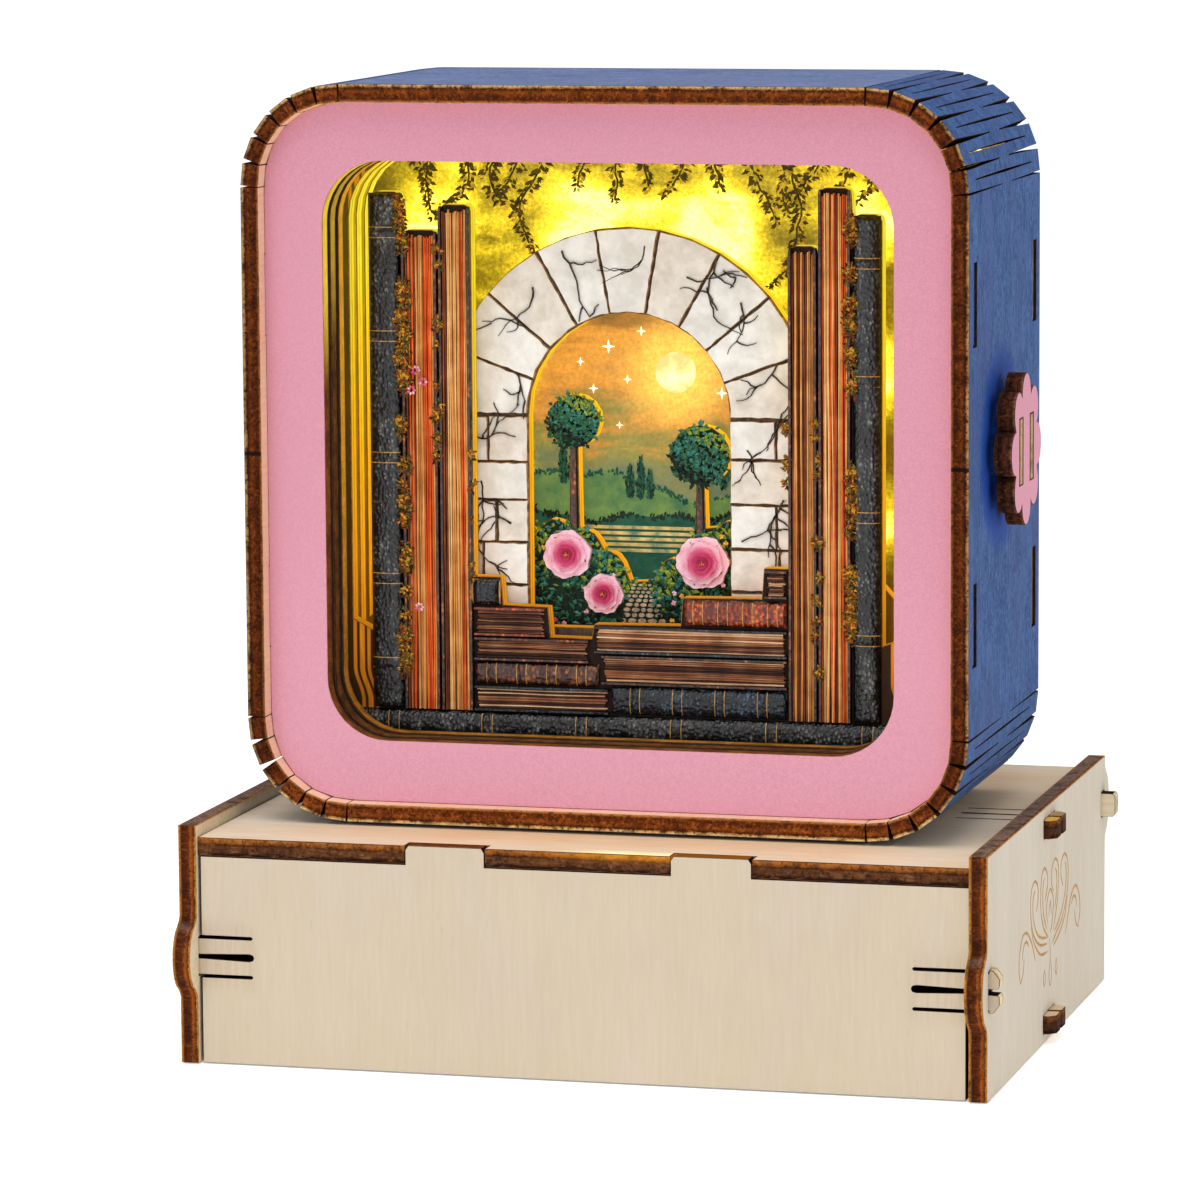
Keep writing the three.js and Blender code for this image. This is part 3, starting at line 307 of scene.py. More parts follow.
def stained(name, base, deep, pale, dusk, grain, rough=0.74, spec=0.12, extra=None):
    """Thin blue stain on open-grained veneer: short fibres, darker dashes and dusky violet patches."""
    g = G(name)
    dash = g.noise(g.map(scaled(grain, 900, 1700)), 1, 4, 0.72, 0.4)
    fibre = g.noise(g.map(scaled(grain, 210, 1200), (0.4, 0.1, 0.2)), 1, 3, 0.6, 0.3)
    patch = g.noise(g.map(scaled(grain, 130, 210), (1.7, 0.3, 0.6)), 1, 5, 0.66, 0.5)
    wide = g.noise(g.map(scaled(grain, 22, 44), (0.2, 2.1, 0.9)), 1, 3, 0.6)
    f = g.math("ADD", g.math("MULTIPLY", dash, 0.54), g.math("MULTIPLY", fibre, 0.24))
    f = g.math("ADD", f, g.math("MULTIPLY", patch, 0.22))
    col = g.ramp(f, [(0.41, deep), (0.49, base), (0.58, pale)])
    col = g.mix(g.span(wide, 0.42, 0.62, 0, 0.55), col, dusk)
    pit = g.noise(g.map(scaled(grain, 330, 2600), (0.9, 0.5, 0.3)), 1, 2, 0.5)
    col = g.mix(g.ramp(pit, [(0.64, (0, 0, 0, 1)), (0.73, (0.5, 0.5, 0.5, 1))]), col, (deep[0] * 0.6, deep[1] * 0.62, deep[2] * 0.68, 1))
    if extra:
        col = extra(g, col)
    h = g.math("ADD", g.math("MULTIPLY", dash, 0.5), g.math("MULTIPLY", fibre, 0.7))
    return g.shade(col, rough, g.bump(h, 0.2, 0.0001), spec=spec)


def painted_border_glow(power):
    def f(g, fibre):
        # painted light: a golden glow emitted from the print beside the window's sides, stronger higher up
        x, _, z = g.xyz()
        ax = g.math("ABSOLUTE", x)
        side = g.math("MULTIPLY", g.span(ax, 0.0395, 0.0425, 0, 1), g.span(ax, 0.0555, 0.0562, 1, 0))
        up = g.span(z, 0.050, 0.132, 0.0, 1.0, "LINEAR")
        col = g.ramp(up, [(0.0, (0.030, 0.012, 0.001, 1)), (0.3, (0.16, 0.055, 0.002, 1)), (0.6, (0.32, 0.15, 0.003, 1)), (1.0, (0.46, 0.34, 0.010, 1))])
        return g.mix(1.0, col, g.math("MULTIPLY", g.math("MULTIPLY", side, g.span(fibre, 0.3, 0.7, 0.75, 1.15)), power), "MULTIPLY")
    return f


def painted_glow_lines(g, fibre):
    # painted light: glowing lines on the front board carry on the lit cut edges behind it where those stop
    x, _, z = g.xyz()
    xs = g.math("SUBTRACT", x, g.span(z, 0.0550, 0.0606, 0.0014, 0.0))
    total = 0.0
    for centre, half, amount in ((-0.0469, 0.00034, 0.8), (-0.0457, 0.00048, 1.0), (-0.04455, 0.00032, 0.8), (0.0439, 0.0003, 1.1)):
        away = g.math("ABSOLUTE", g.math("SUBTRACT", xs, centre))
        total = g.math("MAXIMUM", g.span(away, half * 0.6, half * 1.15, amount, 0), total)
    total = g.math("MULTIPLY", total, g.span(z, 0.0545, 0.0680, 0.45, 1.0))
    lines = g.mix(1.0, (0.62, 0.19, 0.003, 1), g.math("MULTIPLY", total, g.span(fibre, 0.3, 0.7, 0.7, 1.15)), "MULTIPLY")
    return g.mix(1.0, painted_border_glow(0.2)(g, fibre), lines, "ADD")


def paint(name, base, low, high, tint, grain, rough=0.6, scale=1.0, gold=None):
    """Painted veneer: the fibres and pores of the wood show through a thin matt coat."""
    g = G(name)
    fibre = g.noise(g.map(scaled(grain, 120, 1500)), 1, 4, 0.6, 0.3)
    mott = g.noise(g.map(scaled(grain, 260 * scale, 620 * scale)), 1, 4, 0.65, 0.4)
    wide = g.noise(g.map(scaled(grain, 28, 60)), 1, 3, 0.6)
    grit = g.noise(g.map((2300, 2300, 2300)), 1, 2, 0.6)
    f = g.math("ADD", g.math("MULTIPLY", fibre, 0.36), g.math("MULTIPLY", mott, 0.4))
    f = g.math("ADD", f, g.math("MULTIPLY", grit, 0.24))
    col = g.ramp(f, [(0.36, low), (0.5, base), (0.64, high)])
    col = g.mix(g.span(wide, 0.42, 0.66, 0, 0.5), col, tint)
    pits = g.ramp(g.noise(g.map(scaled(grain, 420, 1900)), 1, 2, 0.5), [(0.66, (0, 0, 0, 1)), (0.74, (0.6, 0.6, 0.6, 1))])
    col = g.mix(pits, col, (low[0] * 0.6, low[1] * 0.6, low[2] * 0.65, 1))
    h = g.math("ADD", g.math("MULTIPLY", fibre, 0.7), g.math("MULTIPLY", grit, 0.5))
    r = g.span(mott, 0.3, 0.7, rough - 0.08, rough + 0.1, "LINEAR")
    # gold adds painted light: a glow emitted from the print
    if gold:
        return g.shade(col, rough, g.bump(h, 0.22, 0.0001), spec=0.2, rough_sock=r, emit=gold(g, fibre), power=1.0)
    return g.shade(col, rough, g.bump(h, 0.22, 0.0001), spec=0.3, rough_sock=r)


def scorch(name, a, b):
    g = G(name)
    f = g.noise(g.map((900, 900, 900)), 1, 3, 0.6)
    return g.shade(g.ramp(f, [(0.35, a), (0.62, b)]), 0.75, g.bump(f, 0.2, 0.0001), spec=0.2)


def smoke(g, col, fibre):
    # faint soot above and below the slits of the snap tongue
    x, y, z = g.xyz()
    hz = g.math("ABSOLUTE", g.math("SUBTRACT", z, 0.0175))
    m = g.math("MULTIPLY", g.span(hz, 0.0032, 0.0075, 1, 0), g.span(g.math("ABSOLUTE", x), 0.0528, 0.0545, 0, 1))
    m = g.math("MULTIPLY", m, g.span(fibre, 0.38, 0.62, 0.0, 0.2))
    return g.mix(m, col, lin(150, 116, 84))


def tongue_top(gold, toast=lin(176, 142, 96)):
    def f(g, col, fibre):
        # past the side plate the tongues' faces are toasted, the front one most
        x, y, z = g.xyz()
        if gold:
            # the deck takes a warm reflection from the wrap standing on it
            warm = g.math("MULTIPLY", g.span(g.math("ABSOLUTE", x), 0.035, 0.056, 1, 0), g.span(y, -0.049, -0.039, 0, 1))
            col = g.mix(g.math("MULTIPLY", warm, 0.85), col, (1.0, 0.88, 0.76, 1), "MULTIPLY")
        out = g.span(x, 0.0664, 0.0668, 0, 1)
        col = g.mix(out, col, toast)
        return g.mix(g.math("MULTIPLY", out, g.span(y, -0.0005, 0.0005, 1, 0)), col, gold) if gold else col
    return f


def window_spill(g, fibre):
    # the lit window throws a little golden light on the deck in front of it
    x, y, z = g.xyz()
    across = g.span(g.math("ABSOLUTE", g.math("SUBTRACT", x, 0.0105)), 0.003, 0.0175, 1, 0)
    near = g.span(y, -0.0508, -0.0455, 1, 0)
    wide = g.math("MULTIPLY", g.span(g.math("ABSOLUTE", x), 0.02, 0.058, 1, 0), g.span(y, -0.052, -0.032, 0.8, 1.0))
    up = g.span(z, 0.0365, 0.0368, 0, 1)
    amount = g.math("MULTIPLY", up, g.math("MULTIPLY", g.math("MULTIPLY", across, near), g.span(fibre, 0.3, 0.7, 0.7, 1.1)))
    soft = g.math("MULTIPLY", g.math("MULTIPLY", up, wide), g.span(y, -0.0325, -0.0335, 0, 1))
    a = g.mix(1.0, (0.46, 0.50, 0.08, 1), amount, "MULTIPLY")
    b = g.mix(1.0, (0.050, 0.026, 0.010, 1), soft, "MULTIPLY")
    return g.mix(1.0, a, b, "ADD")


def rim_spill(g, fibre):
    # and on the upper rim of the deck's front edge
    x, y, z = g.xyz()
    across = g.span(g.math("ABSOLUTE", g.math("SUBTRACT", x, 0.0105)), 0.004, 0.020, 1, 0)
    rim = g.math("MULTIPLY", g.span(z, 0.0353, 0.0367, 0, 1), g.span(y, -0.045, -0.040, 1, 0))
    return g.mix(1.0, (0.30, 0.115, 0.002, 1), g.math("MULTIPLY", g.math("MULTIPLY", across, rim), g.span(fibre, 0.3, 0.7, 0.7, 1.1)), "MULTIPLY")


def wrap_tone(g, col):
    # the upright runs are darker, and the lower run paler and cooler, than the rest of the edge
    x, _, z = g.xyz()
    low = g.span(z, 0.0400, 0.0460, 1, 0)
    side = g.math("MULTIPLY", g.span(g.math("ABSOLUTE", x), 0.0520, 0.0572, 0, 1), g.span(z, 0.0400, 0.0460, 0, 1))
    col = g.mix(1.0, col, g.mix(side, (1, 1, 1, 1), (0.68, 0.66, 0.70, 1)), "MULTIPLY")
    return g.mix(1.0, col, g.mix(low, (1, 1, 1, 1), (1.5, 1.7, 1.9, 1)), "MULTIPLY")


ply_front = bare_ply("basswood_front", "z", lin(197, 182, 157), lin(201, 186, 162), lin(205, 191, 169), 1, ((1.0, 0.988, 1.09, 1), 0.62, 2.2, 5.0, 0.04), calm=1.1, extra=smoke)
ply_side = bare_ply("basswood_side", "z", lin(195, 183, 164), lin(202, 191, 173), lin(209, 199, 183), 4, calm=0.45)
ply_top = bare_ply("basswood_top", "x", lin(215, 194, 167), lin(228, 208, 182), lin(237, 220, 197), 7, (lin(250, 228, 200), 0.7, 1, 1, 0), calm=0.7, extra=tongue_top(lin(226, 176, 64)), spill=window_spill)
ply_inside = bare_ply("basswood_inside", "x", lin(204, 186, 152), lin(222, 206, 175), lin(232, 219, 193), 9)
ply_under = bare_ply("basswood_under", "x", lin(204, 186, 152), lin(222, 206, 175), lin(232, 219, 193), 10, extra=tongue_top(None, lin(222, 194, 156)))
ply_peach = bare_ply("basswood_wrap_inside", "y", lin(232, 182, 152), lin(242, 198, 170), lin(248, 212, 188), 12)

E_ORANGE, E_GLUE, E_CORE = lin(139, 84, 40), lin(44, 24, 15), lin(84, 48, 28)
E_FLECK, E_CHAR, E_TAN = lin(138, 92, 58), lin(38, 21, 14), lin(196, 160, 108)
SIDE_STOPS = [(0.0, lin(112, 60, 22)), (0.07, lin(190, 128, 54)), (0.14, lin(140, 80, 28)), (0.20, lin(66, 28, 8)), (0.46, lin(80, 34, 10)),
              (0.60, lin(100, 44, 13)), (0.70, lin(152, 80, 26)), (0.82, lin(124, 62, 20)), (0.88, lin(98, 48, 16)), (0.94, lin(196, 132, 56)), (1.0, lin(120, 66, 26))]
# the side and front edges get painted light on their upward faces: a paler, greyer tint
edge_x = charred("burnt_edge_side", SIDE_STOPS, lin(132, 76, 36), lin(34, 17, 10), "x", top=lin(138, 114, 100))
edge_y = charred("burnt_edge_front", SIDE_STOPS, lin(132, 76, 36), lin(34, 17, 10), "y", top=lin(138, 114, 100))
edge_z = charred("burnt_edge_top", [(0.0, lin(18, 8, 4)), (0.11, lin(28, 12, 6)), (0.19, lin(62, 32, 16)), (0.26, lin(92, 54, 30)), (0.54, lin(100, 60, 34)), (0.63, lin(66, 32, 14)),
                                    (0.72, lin(124, 64, 20)), (0.84, lin(154, 88, 30)), (0.95, lin(166, 98, 40)), (1.0, lin(190, 132, 72))],
                 lin(150, 108, 70), lin(32, 17, 10), "x", fleck_amt=0.45, mark=lambda g: g.span(g.math("ABSOLUTE", g.xyz()[0]), 0.0662, 0.0667, 0, 0.45), spill=rim_spill)


def seam_mark(g):
    # the two halves of the wrap meet half-way up
    x, y, z = g.xyz()
    return g.span(g.math("ABSOLUTE", g.math("SUBTRACT", z, 0.0976)), 0.00022, 0.00046, 0.92, 0)


edge_wrap = charred("burnt_edge_wrap", [(0.0, lin(190, 132, 84)), (0.07, lin(166, 104, 52)), (0.15, lin(98, 45, 13)), (0.22, lin(75, 31, 8)), (0.45, lin(100, 44, 12)),
                                        (0.60, lin(120, 58, 18)), (0.72, lin(84, 36, 10)), (0.80, lin(54, 24, 8)), (0.86, lin(160, 116, 62)), (0.94, lin(200, 164, 108)), (1.0, lin(176, 142, 98))],
                    lin(168, 88, 32), lin(44, 18, 6), "y", mark=seam_mark, fleck_amt=0.6, speck=0.85, grit=1900, run=900, tone=wrap_tone)
edge_cut = charred("burnt_kerf", [(0.0, lin(58, 30, 16)), (0.3, lin(34, 18, 11)), (0.75, lin(40, 21, 12)), (1.0, lin(62, 34, 20))], lin(70, 40, 22), lin(18, 10, 7), "y", fleck_amt=0.35)
tab_tan = charred("toasted_tab_end", [(0.0, lin(52, 30, 16)), (0.2, lin(128, 98, 62)), (0.5, lin(146, 114, 78)), (0.8, lin(120, 90, 58)), (1.0, lin(52, 30, 16))], lin(170, 140, 100), lin(70, 44, 24), "z", fleck_amt=0.4)
tab_burnt = charred("burnt_tab_top", [(0.0, lin(150, 84, 34)), (0.10, lin(186, 120, 60)), (0.22, lin(112, 52, 12)), (0.46, lin(98, 42, 8)), (0.62, lin(120, 56, 13)), (0.80, lin(102, 44, 8)), (1.0, lin(80, 35, 8))],
                    lin(176, 108, 50), lin(60, 28, 10), "x", fleck_amt=0.4, speck=0.5, tone=lambda g, col: g.mix(g.span(g.xyz()[0], 0.0, 0.015, 0, 0.7), col, lin(142, 90, 20)))
edge_black = charred("sooty_slit", [(0.0, lin(26, 13, 8)), (1.0, lin(30, 16, 10))], lin(44, 24, 14), lin(12, 7, 5), "y", fleck_amt=0.4)
end_tan = charred("tongue_end", [(0.0, lin(70, 42, 24)), (0.10, lin(190, 160, 118)), (0.2, lin(232, 212, 174)), (0.8, lin(228, 208, 170)), (0.92, lin(180, 148, 106)), (1.0, lin(64, 38, 22))],
                  lin(206, 180, 138), lin(110, 76, 46), "y", speck=0.3, fleck_amt=0.3)
rim_dark = scorch("scorched_rim", lin(58, 30, 16), lin(104, 60, 30))
rim_black = scorch("sooty_rim", lin(34, 18, 11), lin(58, 32, 18))
rim_gold = scorch("toasted_rim", lin(132, 78, 34), lin(196, 134, 66))
rim_tan = scorch("scorched_rim_tan", lin(150, 104, 60), lin(206, 166, 116))
rim_blue = scorch("blue_rim", lin(44, 50, 74), lin(66, 80, 122))
rim_pink = scorch("pink_rim", lin(188, 120, 128), lin(214, 146, 160))

def knob_shadow_ring(g, col):
    # painted shade: the wall is a deeper, more saturated blue round the knob, where the knob's shadow falls
    x, y, z = g.xyz()
    dy = g.math("MULTIPLY", g.math("SUBTRACT", y, -0.009), 1000)
    dz = g.math("MULTIPLY", g.math("SUBTRACT", z, 0.0984), 1000)
    d = g.math("SQRT", g.math("ADD", g.math("MULTIPLY", dy, dy), g.math("MULTIPLY", dz, dz)))
    m = g.math("MULTIPLY", g.span(d, 13.2, 18.5, 0.85, 0), g.span(x, 0.0585, 0.0595, 0, 1))
    return g.mix(m, col, lin(18, 60, 144))


# lit and shaded copies of the blue stain: the walls take the darker one, painted shade; the wrap's flat top and bottom
# take the paler one with more sheen, painted light
blue = stained("blue_stain", lin(52, 82, 132), lin(26, 56, 104), lin(75, 106, 157), lin(66, 82, 132), "z", extra=knob_shadow_ring)
blue_lit_top = stained("blue_stain_top_painted_light", lin(83, 103, 152), lin(42, 66, 122), lin(122, 139, 180), lin(96, 109, 152), "x", rough=0.62, spec=0.3)
pink = print_coat("pink_coat", lin(229, 158, 176), 0.10, lin(230, 161, 178))


# =============================================================================================
# board pieces: cloned from the frame's exact outline, with eased, scorched rims
# =============================================================================================
def start_mesh(node):
    bm = bmesh.new()
    bm.from_mesh(frame["nodes"][node].data)
    for v in bm.verts:
        v.co /= MM
        if not node.startswith("base_"):
            v.co.y -= BOX_Y
    bmesh.ops.remove_doubles(bm, verts=bm.verts, dist=0.002)
    bmesh.ops.dissolve_limit(bm, angle_limit=math.radians(0.6), verts=bm.verts, edges=bm.edges)
    bm.normal_update()
    return bm


def finish_mesh(bm, name, mats, body, ply=None, smooth=28, replaces=(), base=False):
    if ply is not None:
        layer = bm.verts.layers.float.new("ply")
        for v in bm.verts:
            v[layer] = ply(v.co)
    bm.normal_update()
    for v in bm.verts:
        if not base:
            v.co.y += BOX_Y
        v.co *= MM
    me = bpy.data.meshes.new(name)
    bm.to_mesh(me)
    bm.free()
    for m in mats:
        me.materials.append(m)
    me.polygons.foreach_set("use_smooth", [True] * len(me.polygons))
    me.set_sharp_from_angle(angle=math.radians(smooth))
    ob = bpy.data.objects.new(name, me)
    bpy.context.scene.collection.objects.link(ob)
    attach(ob, body)
    for node in replaces:
        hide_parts(node)
    return ob


def flats(ob, kinds):
    # broad faces are truly flat, so they shade without any gradient
    for f in ob.data.polygons:
        if f.material_index in kinds:
            f.use_smooth = False
    return ob


def ease(bm, edges, width, mat, segments=2):
    if edges:
        bmesh.ops.bevel(bm, geom=edges, offset=width, offset_type="OFFSET", segments=segments, profile=0.55,
                        affect="EDGES", clamp_overlap=False, material=mat)


def board(node, axis, low_mat, high_mat, edge, rim, body="lamp", width=0.13, end=None, move=None, name=None, pick=None, end_mat=None, more=()):
    """A flat board: faces 0 (low side) and 1 (high side), cut edge 2, rim 3, optional tab ends 4."""
    bm = start_mesh(node)
    if move:
        for v in bm.verts:
            v.co = move(v.co.copy())
    k = AXIS[axis]
    lo = min(v.co[k] for v in bm.verts)
    hi = max(v.co[k] for v in bm.verts)
    for f in bm.faces:
        n = f.normal
        if abs(n[k]) > 0.7:
            f.material_index = 1 if n[k] > 0 else 0
        else:
            f.material_index = 2
            if end and end(f):
                f.material_index = 4
        if pick:
            q = pick(f)
            if q is not None:
                f.material_index = q
    es = [e for e in bm.edges if len(e.link_faces) == 2 and sum(1 for f in e.link_faces if f.material_index < 2) == 1]
    ease(bm, es, width, 3)
    t = hi - lo
    mats = [low_mat, high_mat, edge, rim, end_mat or end_tan] + list(more)
    ob = finish_mesh(bm, name or node + "_board", mats, body, ply=lambda p: min(max((p[k] - lo) / t, 0), 1), replaces=(node,), base=node.startswith("base_"))
    return flats(ob, (0, 1))


# ---- base box -------------------------------------------------------------------------------
def tip(f):
    c = f.calc_center_median()
    return abs(c.x) > 66.55


def tab_top(f):
    # the upper ends of the panels' tabs lie open in the deck
    return 5 if f.normal.z > 0.7 and f.calc_center_median().z > 35.2 else None


board("base_front_panel", "y", ply_front, ply_inside, edge_black, rim_black, end=tip, width=0.06, pick=tab_top, more=(tab_burnt,))
board("base_back_panel", "y", ply_inside, ply_front, edge_black, rim_black, end=tip, width=0.06, pick=tab_top, more=(tab_burnt,))
board("base_right_side", "x", ply_inside, ply_side, edge_x, rim_gold, width=0.12)
board("base_left_side", "x", ply_side, ply_inside, edge_x, rim_gold, width=0.12)
board("base_top_board", "z", ply_inside, ply_top, edge_z, rim_dark, width=0.12)
board("base_bottom_board", "z", ply_inside, ply_under, edge_z, rim_dark, width=0.12)

# ---- the wrap's walls and corner strips ------------------------------------------------------------
HEAD = [math.radians(a) for a in (0, 6, 21, 37, 53, 69, 84, 90)]
STRIP = 13.8 / sum(math.cos(a) for a in HEAD[1:7])
KNEES = [(57.0, 43.2)]
for a in HEAD[1:7]:
    KNEES.append((KNEES[-1][0] - STRIP * math.sin(a), KNEES[-1][1] + STRIP * math.cos(a)))


def wall(x, z):
    """Outward direction of the nearest wall or corner strip, and the depth below its surface."""
    sx, sz = (1 if x >= 0 else -1), (1 if z >= CZ else -1)
    ax, az = abs(x), abs(z - CZ)
    best = None
    for k in range(8):
        n = (math.cos(HEAD[k]), math.sin(HEAD[k]))
        q = KNEES[min(k, 6)]
        d = (ax - q[0]) * n[0] + (az - q[1]) * n[1]
        if best is None or d > best[0] + 1e-6:
            best = (d, n, k)
    return (sx * best[1][0], sz * best[1][1]), T - best[0], best[2]


# ---- front frame and back panel ------------------------------------------------------------------
def rim_glow(z0, z1, power, color, floor=0.0):
    def f(g, ply, fine):
        x, _, z = g.xyz()
        up = g.math("MULTIPLY", g.span(z, z0, z1, floor, 1.0), g.span(g.math("ABSOLUTE", x), 0.0555, 0.0562, 1, 0))
        body = g.ramp(ply, [(0.06, (0, 0, 0, 1)), (0.16, (1, 1, 1, 1)), (0.40, (0.75, 0.75, 0.75, 1)), (0.48, (1, 1, 1, 1)), (0.84, (0.85, 0.85, 0.85, 1)), (0.94, (0, 0, 0, 1))])
        grain = g.span(fine, 0.3, 0.7, 0.7, 1.15, "LINEAR")
        return g.mix(1.0, color, g.math("MULTIPLY", g.math("MULTIPLY", up, body), g.math("MULTIPLY", grain, power)), "MULTIPLY")
    return f


BLACK_E = lin(20, 12, 8)
edge_pink = burnt("burnt_edge_window", "y", lin(176, 112, 50), lin(92, 50, 20), lin(132, 76, 28), lin(180, 120, 56), lin(54, 28, 12), outer=BLACK_E, layer=0.12, glow=rim_glow(0.106, 0.127, 0.80, (1.0, 0.74, 0.05, 1)))
edge_f1 = burnt("burnt_edge_inner_1", "y", BLACK_E, lin(60, 34, 14), lin(112, 66, 26), lin(168, 116, 52), lin(30, 16, 9), outer=BLACK_E, layer=0.14, glow=rim_glow(0.112, 0.132, 0.42, (1.0, 0.70, 0.06, 1)))
edge_f2 = burnt("burnt_edge_inner_2", "y", BLACK_E, lin(90, 52, 16), lin(180, 112, 34), lin(214, 150, 60), lin(50, 26, 10), outer=BLACK_E, layer=0.14, glow=rim_glow(0.050, 0.125, 0.50, (1.0, 0.50, 0.03, 1), 0.12))
def snug(p):
    # the frame's rim is drawn out to the wrap, a hair short of it
    if max(abs(p.x), abs(p.z - CZ)) > 50 and abs(p.x) < 57.2:
        out, depth, k = wall(p.x, p.z)
        d = depth - T - 0.07
        p.x += out[0] * d
        p.z += out[1] * d
    return p


def wall_tab(f):
    c = f.calc_center_median()
    return max(abs(c.x), abs(c.z - CZ)) > 58.7


board("front_frame", "y", pink, ply_inside, edge_pink, rim_pink, width=0.07, move=snug, end=wall_tab, end_mat=blue)
board("back_panel", "y", ply_inside, blue, edge_cut, rim_blue, width=0.1, end=wall_tab, end_mat=tab_tan)
dark_print = paint("umber_print", lin(52, 34, 24), lin(34, 22, 16), lin(70, 46, 32), lin(46, 30, 24), "z", 0.62)
board("inner_frame_1", "y", dark_print, ply_inside, edge_f1, rim_dark, width=0.1)
board("inner_frame_2", "y", dark_print, ply_inside, edge_f2, rim_dark, width=0.1)

# ---- wrap halves --------------------------------------------------------------------------------
def wrap(node):
    bm = start_mesh(node)
    for v in bm.verts:
        if abs(v.co.z - CZ) < 0.3:
            v.co.z = CZ
    for f in bm.faces:
        c = f.calc_center_median()
        n = f.normal
        out, depth, k = wall(c.x, c.z)
        dot = n.x * out[0] + n.z * out[1]
        if abs(n.y) > 0.9 and (abs(c.y) > 28.9):
            f.material_index = 3
        elif dot > 0.93 and depth < 0.15:
            # the flat top and bottom runs take the paler, painted-light copy of the blue
            f.material_index = 0 if k < 7 else 1
        elif dot < -0.93 and depth > T - 0.15:
            f.material_index = 2
        else:
            f.material_index = 4
    es = []
    for e in bm.edges:
        if len(e.link_faces) == 2:
            a, b = (f.material_index for f in e.link_faces)
            if (a < 3) != (b < 3) and max(abs(v.co.z - CZ) for v in e.verts) > 0.01:
                es.append(e)
    # rims: on the outside they take the paint, on the inside the scorched wood
    outer = [e for e in es if any(f.material_index < 2 for f in e.link_faces)]
    inner = [e for e in es if not any(f.material_index < 2 for f in e.link_faces)]
    tag = {e: (5 if e in set(outer) else 6) for e in es}
    ease(bm, outer + inner, 0.06, 6, 2)
    for f in bm.faces:
        if f.material_index == 6:
            c = f.calc_center_median()
            if wall(c.x, c.z)[1] < 1:
                f.material_index = 5
    mats = [blue, blue_lit_top, ply_peach, edge_wrap, edge_cut, rim_blue, rim_tan]
    ob = finish_mesh(bm, node + "_skin", mats, "lamp",
                     ply=lambda p: min(max(1 - wall(p.x, p.z)[1] / T, 0), 1), smooth=12, replaces=(node,))
    return flats(ob, (0, 1, 2, 3))


wrap("upper_wrap")
wrap("lower_wrap")

# ---- knob -----------------------------------------------------------------------------------------
edge_knob = charred("burnt_edge_knob", [(0.0, lin(34, 18, 10)), (0.14, lin(70, 36, 18)), (0.26, lin(38, 18, 9)), (0.42, lin(44, 21, 13)), (0.56, lin(84, 43, 27)), (0.68, lin(74, 40, 28)),
                                        (0.82, lin(58, 32, 23)), (0.92, lin(110, 68, 50)), (1.0, lin(158, 106, 86))], lin(136, 76, 40), lin(20, 10, 6), "x", speck=0.85, grit=1500, run=1500)
board("flower_knob", "x", ply_inside, pink, edge_knob, rim_dark, body="knob", width=0.12)
# painted shade: the hub disc behind the flower takes the dark blue of the wall in the knob's shadow, so it reads as
# that shadow
blue_hub_shadow = stained("blue_hub_painted_shade", lin(15, 47, 108), lin(8, 31, 82), lin(22, 60, 126), lin(14, 42, 100), "x")
board("knob_hub", "x", blue_hub_shadow, blue_hub_shadow, blue_hub_shadow, blue_hub_shadow, body="knob", width=0.12, name="knob_hub_disc")
peg_tan = charred("peg_end", [(0.0, lin(40, 22, 13)), (0.14, lin(120, 88, 58)), (0.28, lin(184, 152, 112)), (0.7, lin(196, 166, 128)), (0.86, lin(112, 80, 52)), (1.0, lin(36, 20, 12))],
                  lin(160, 126, 88), lin(84, 54, 34), "x", speck=0.55, fleck_amt=0.4)
for node in ("knob_tab_front", "knob_tab_rear"):
    board(node, "y", ply_inside, ply_inside, edge_cut, rim_black, body="knob", width=0.27,
          pick=lambda f: 4 if f.normal.x > 0.8 else None, name=node + "_peg", end_mat=peg_tan)


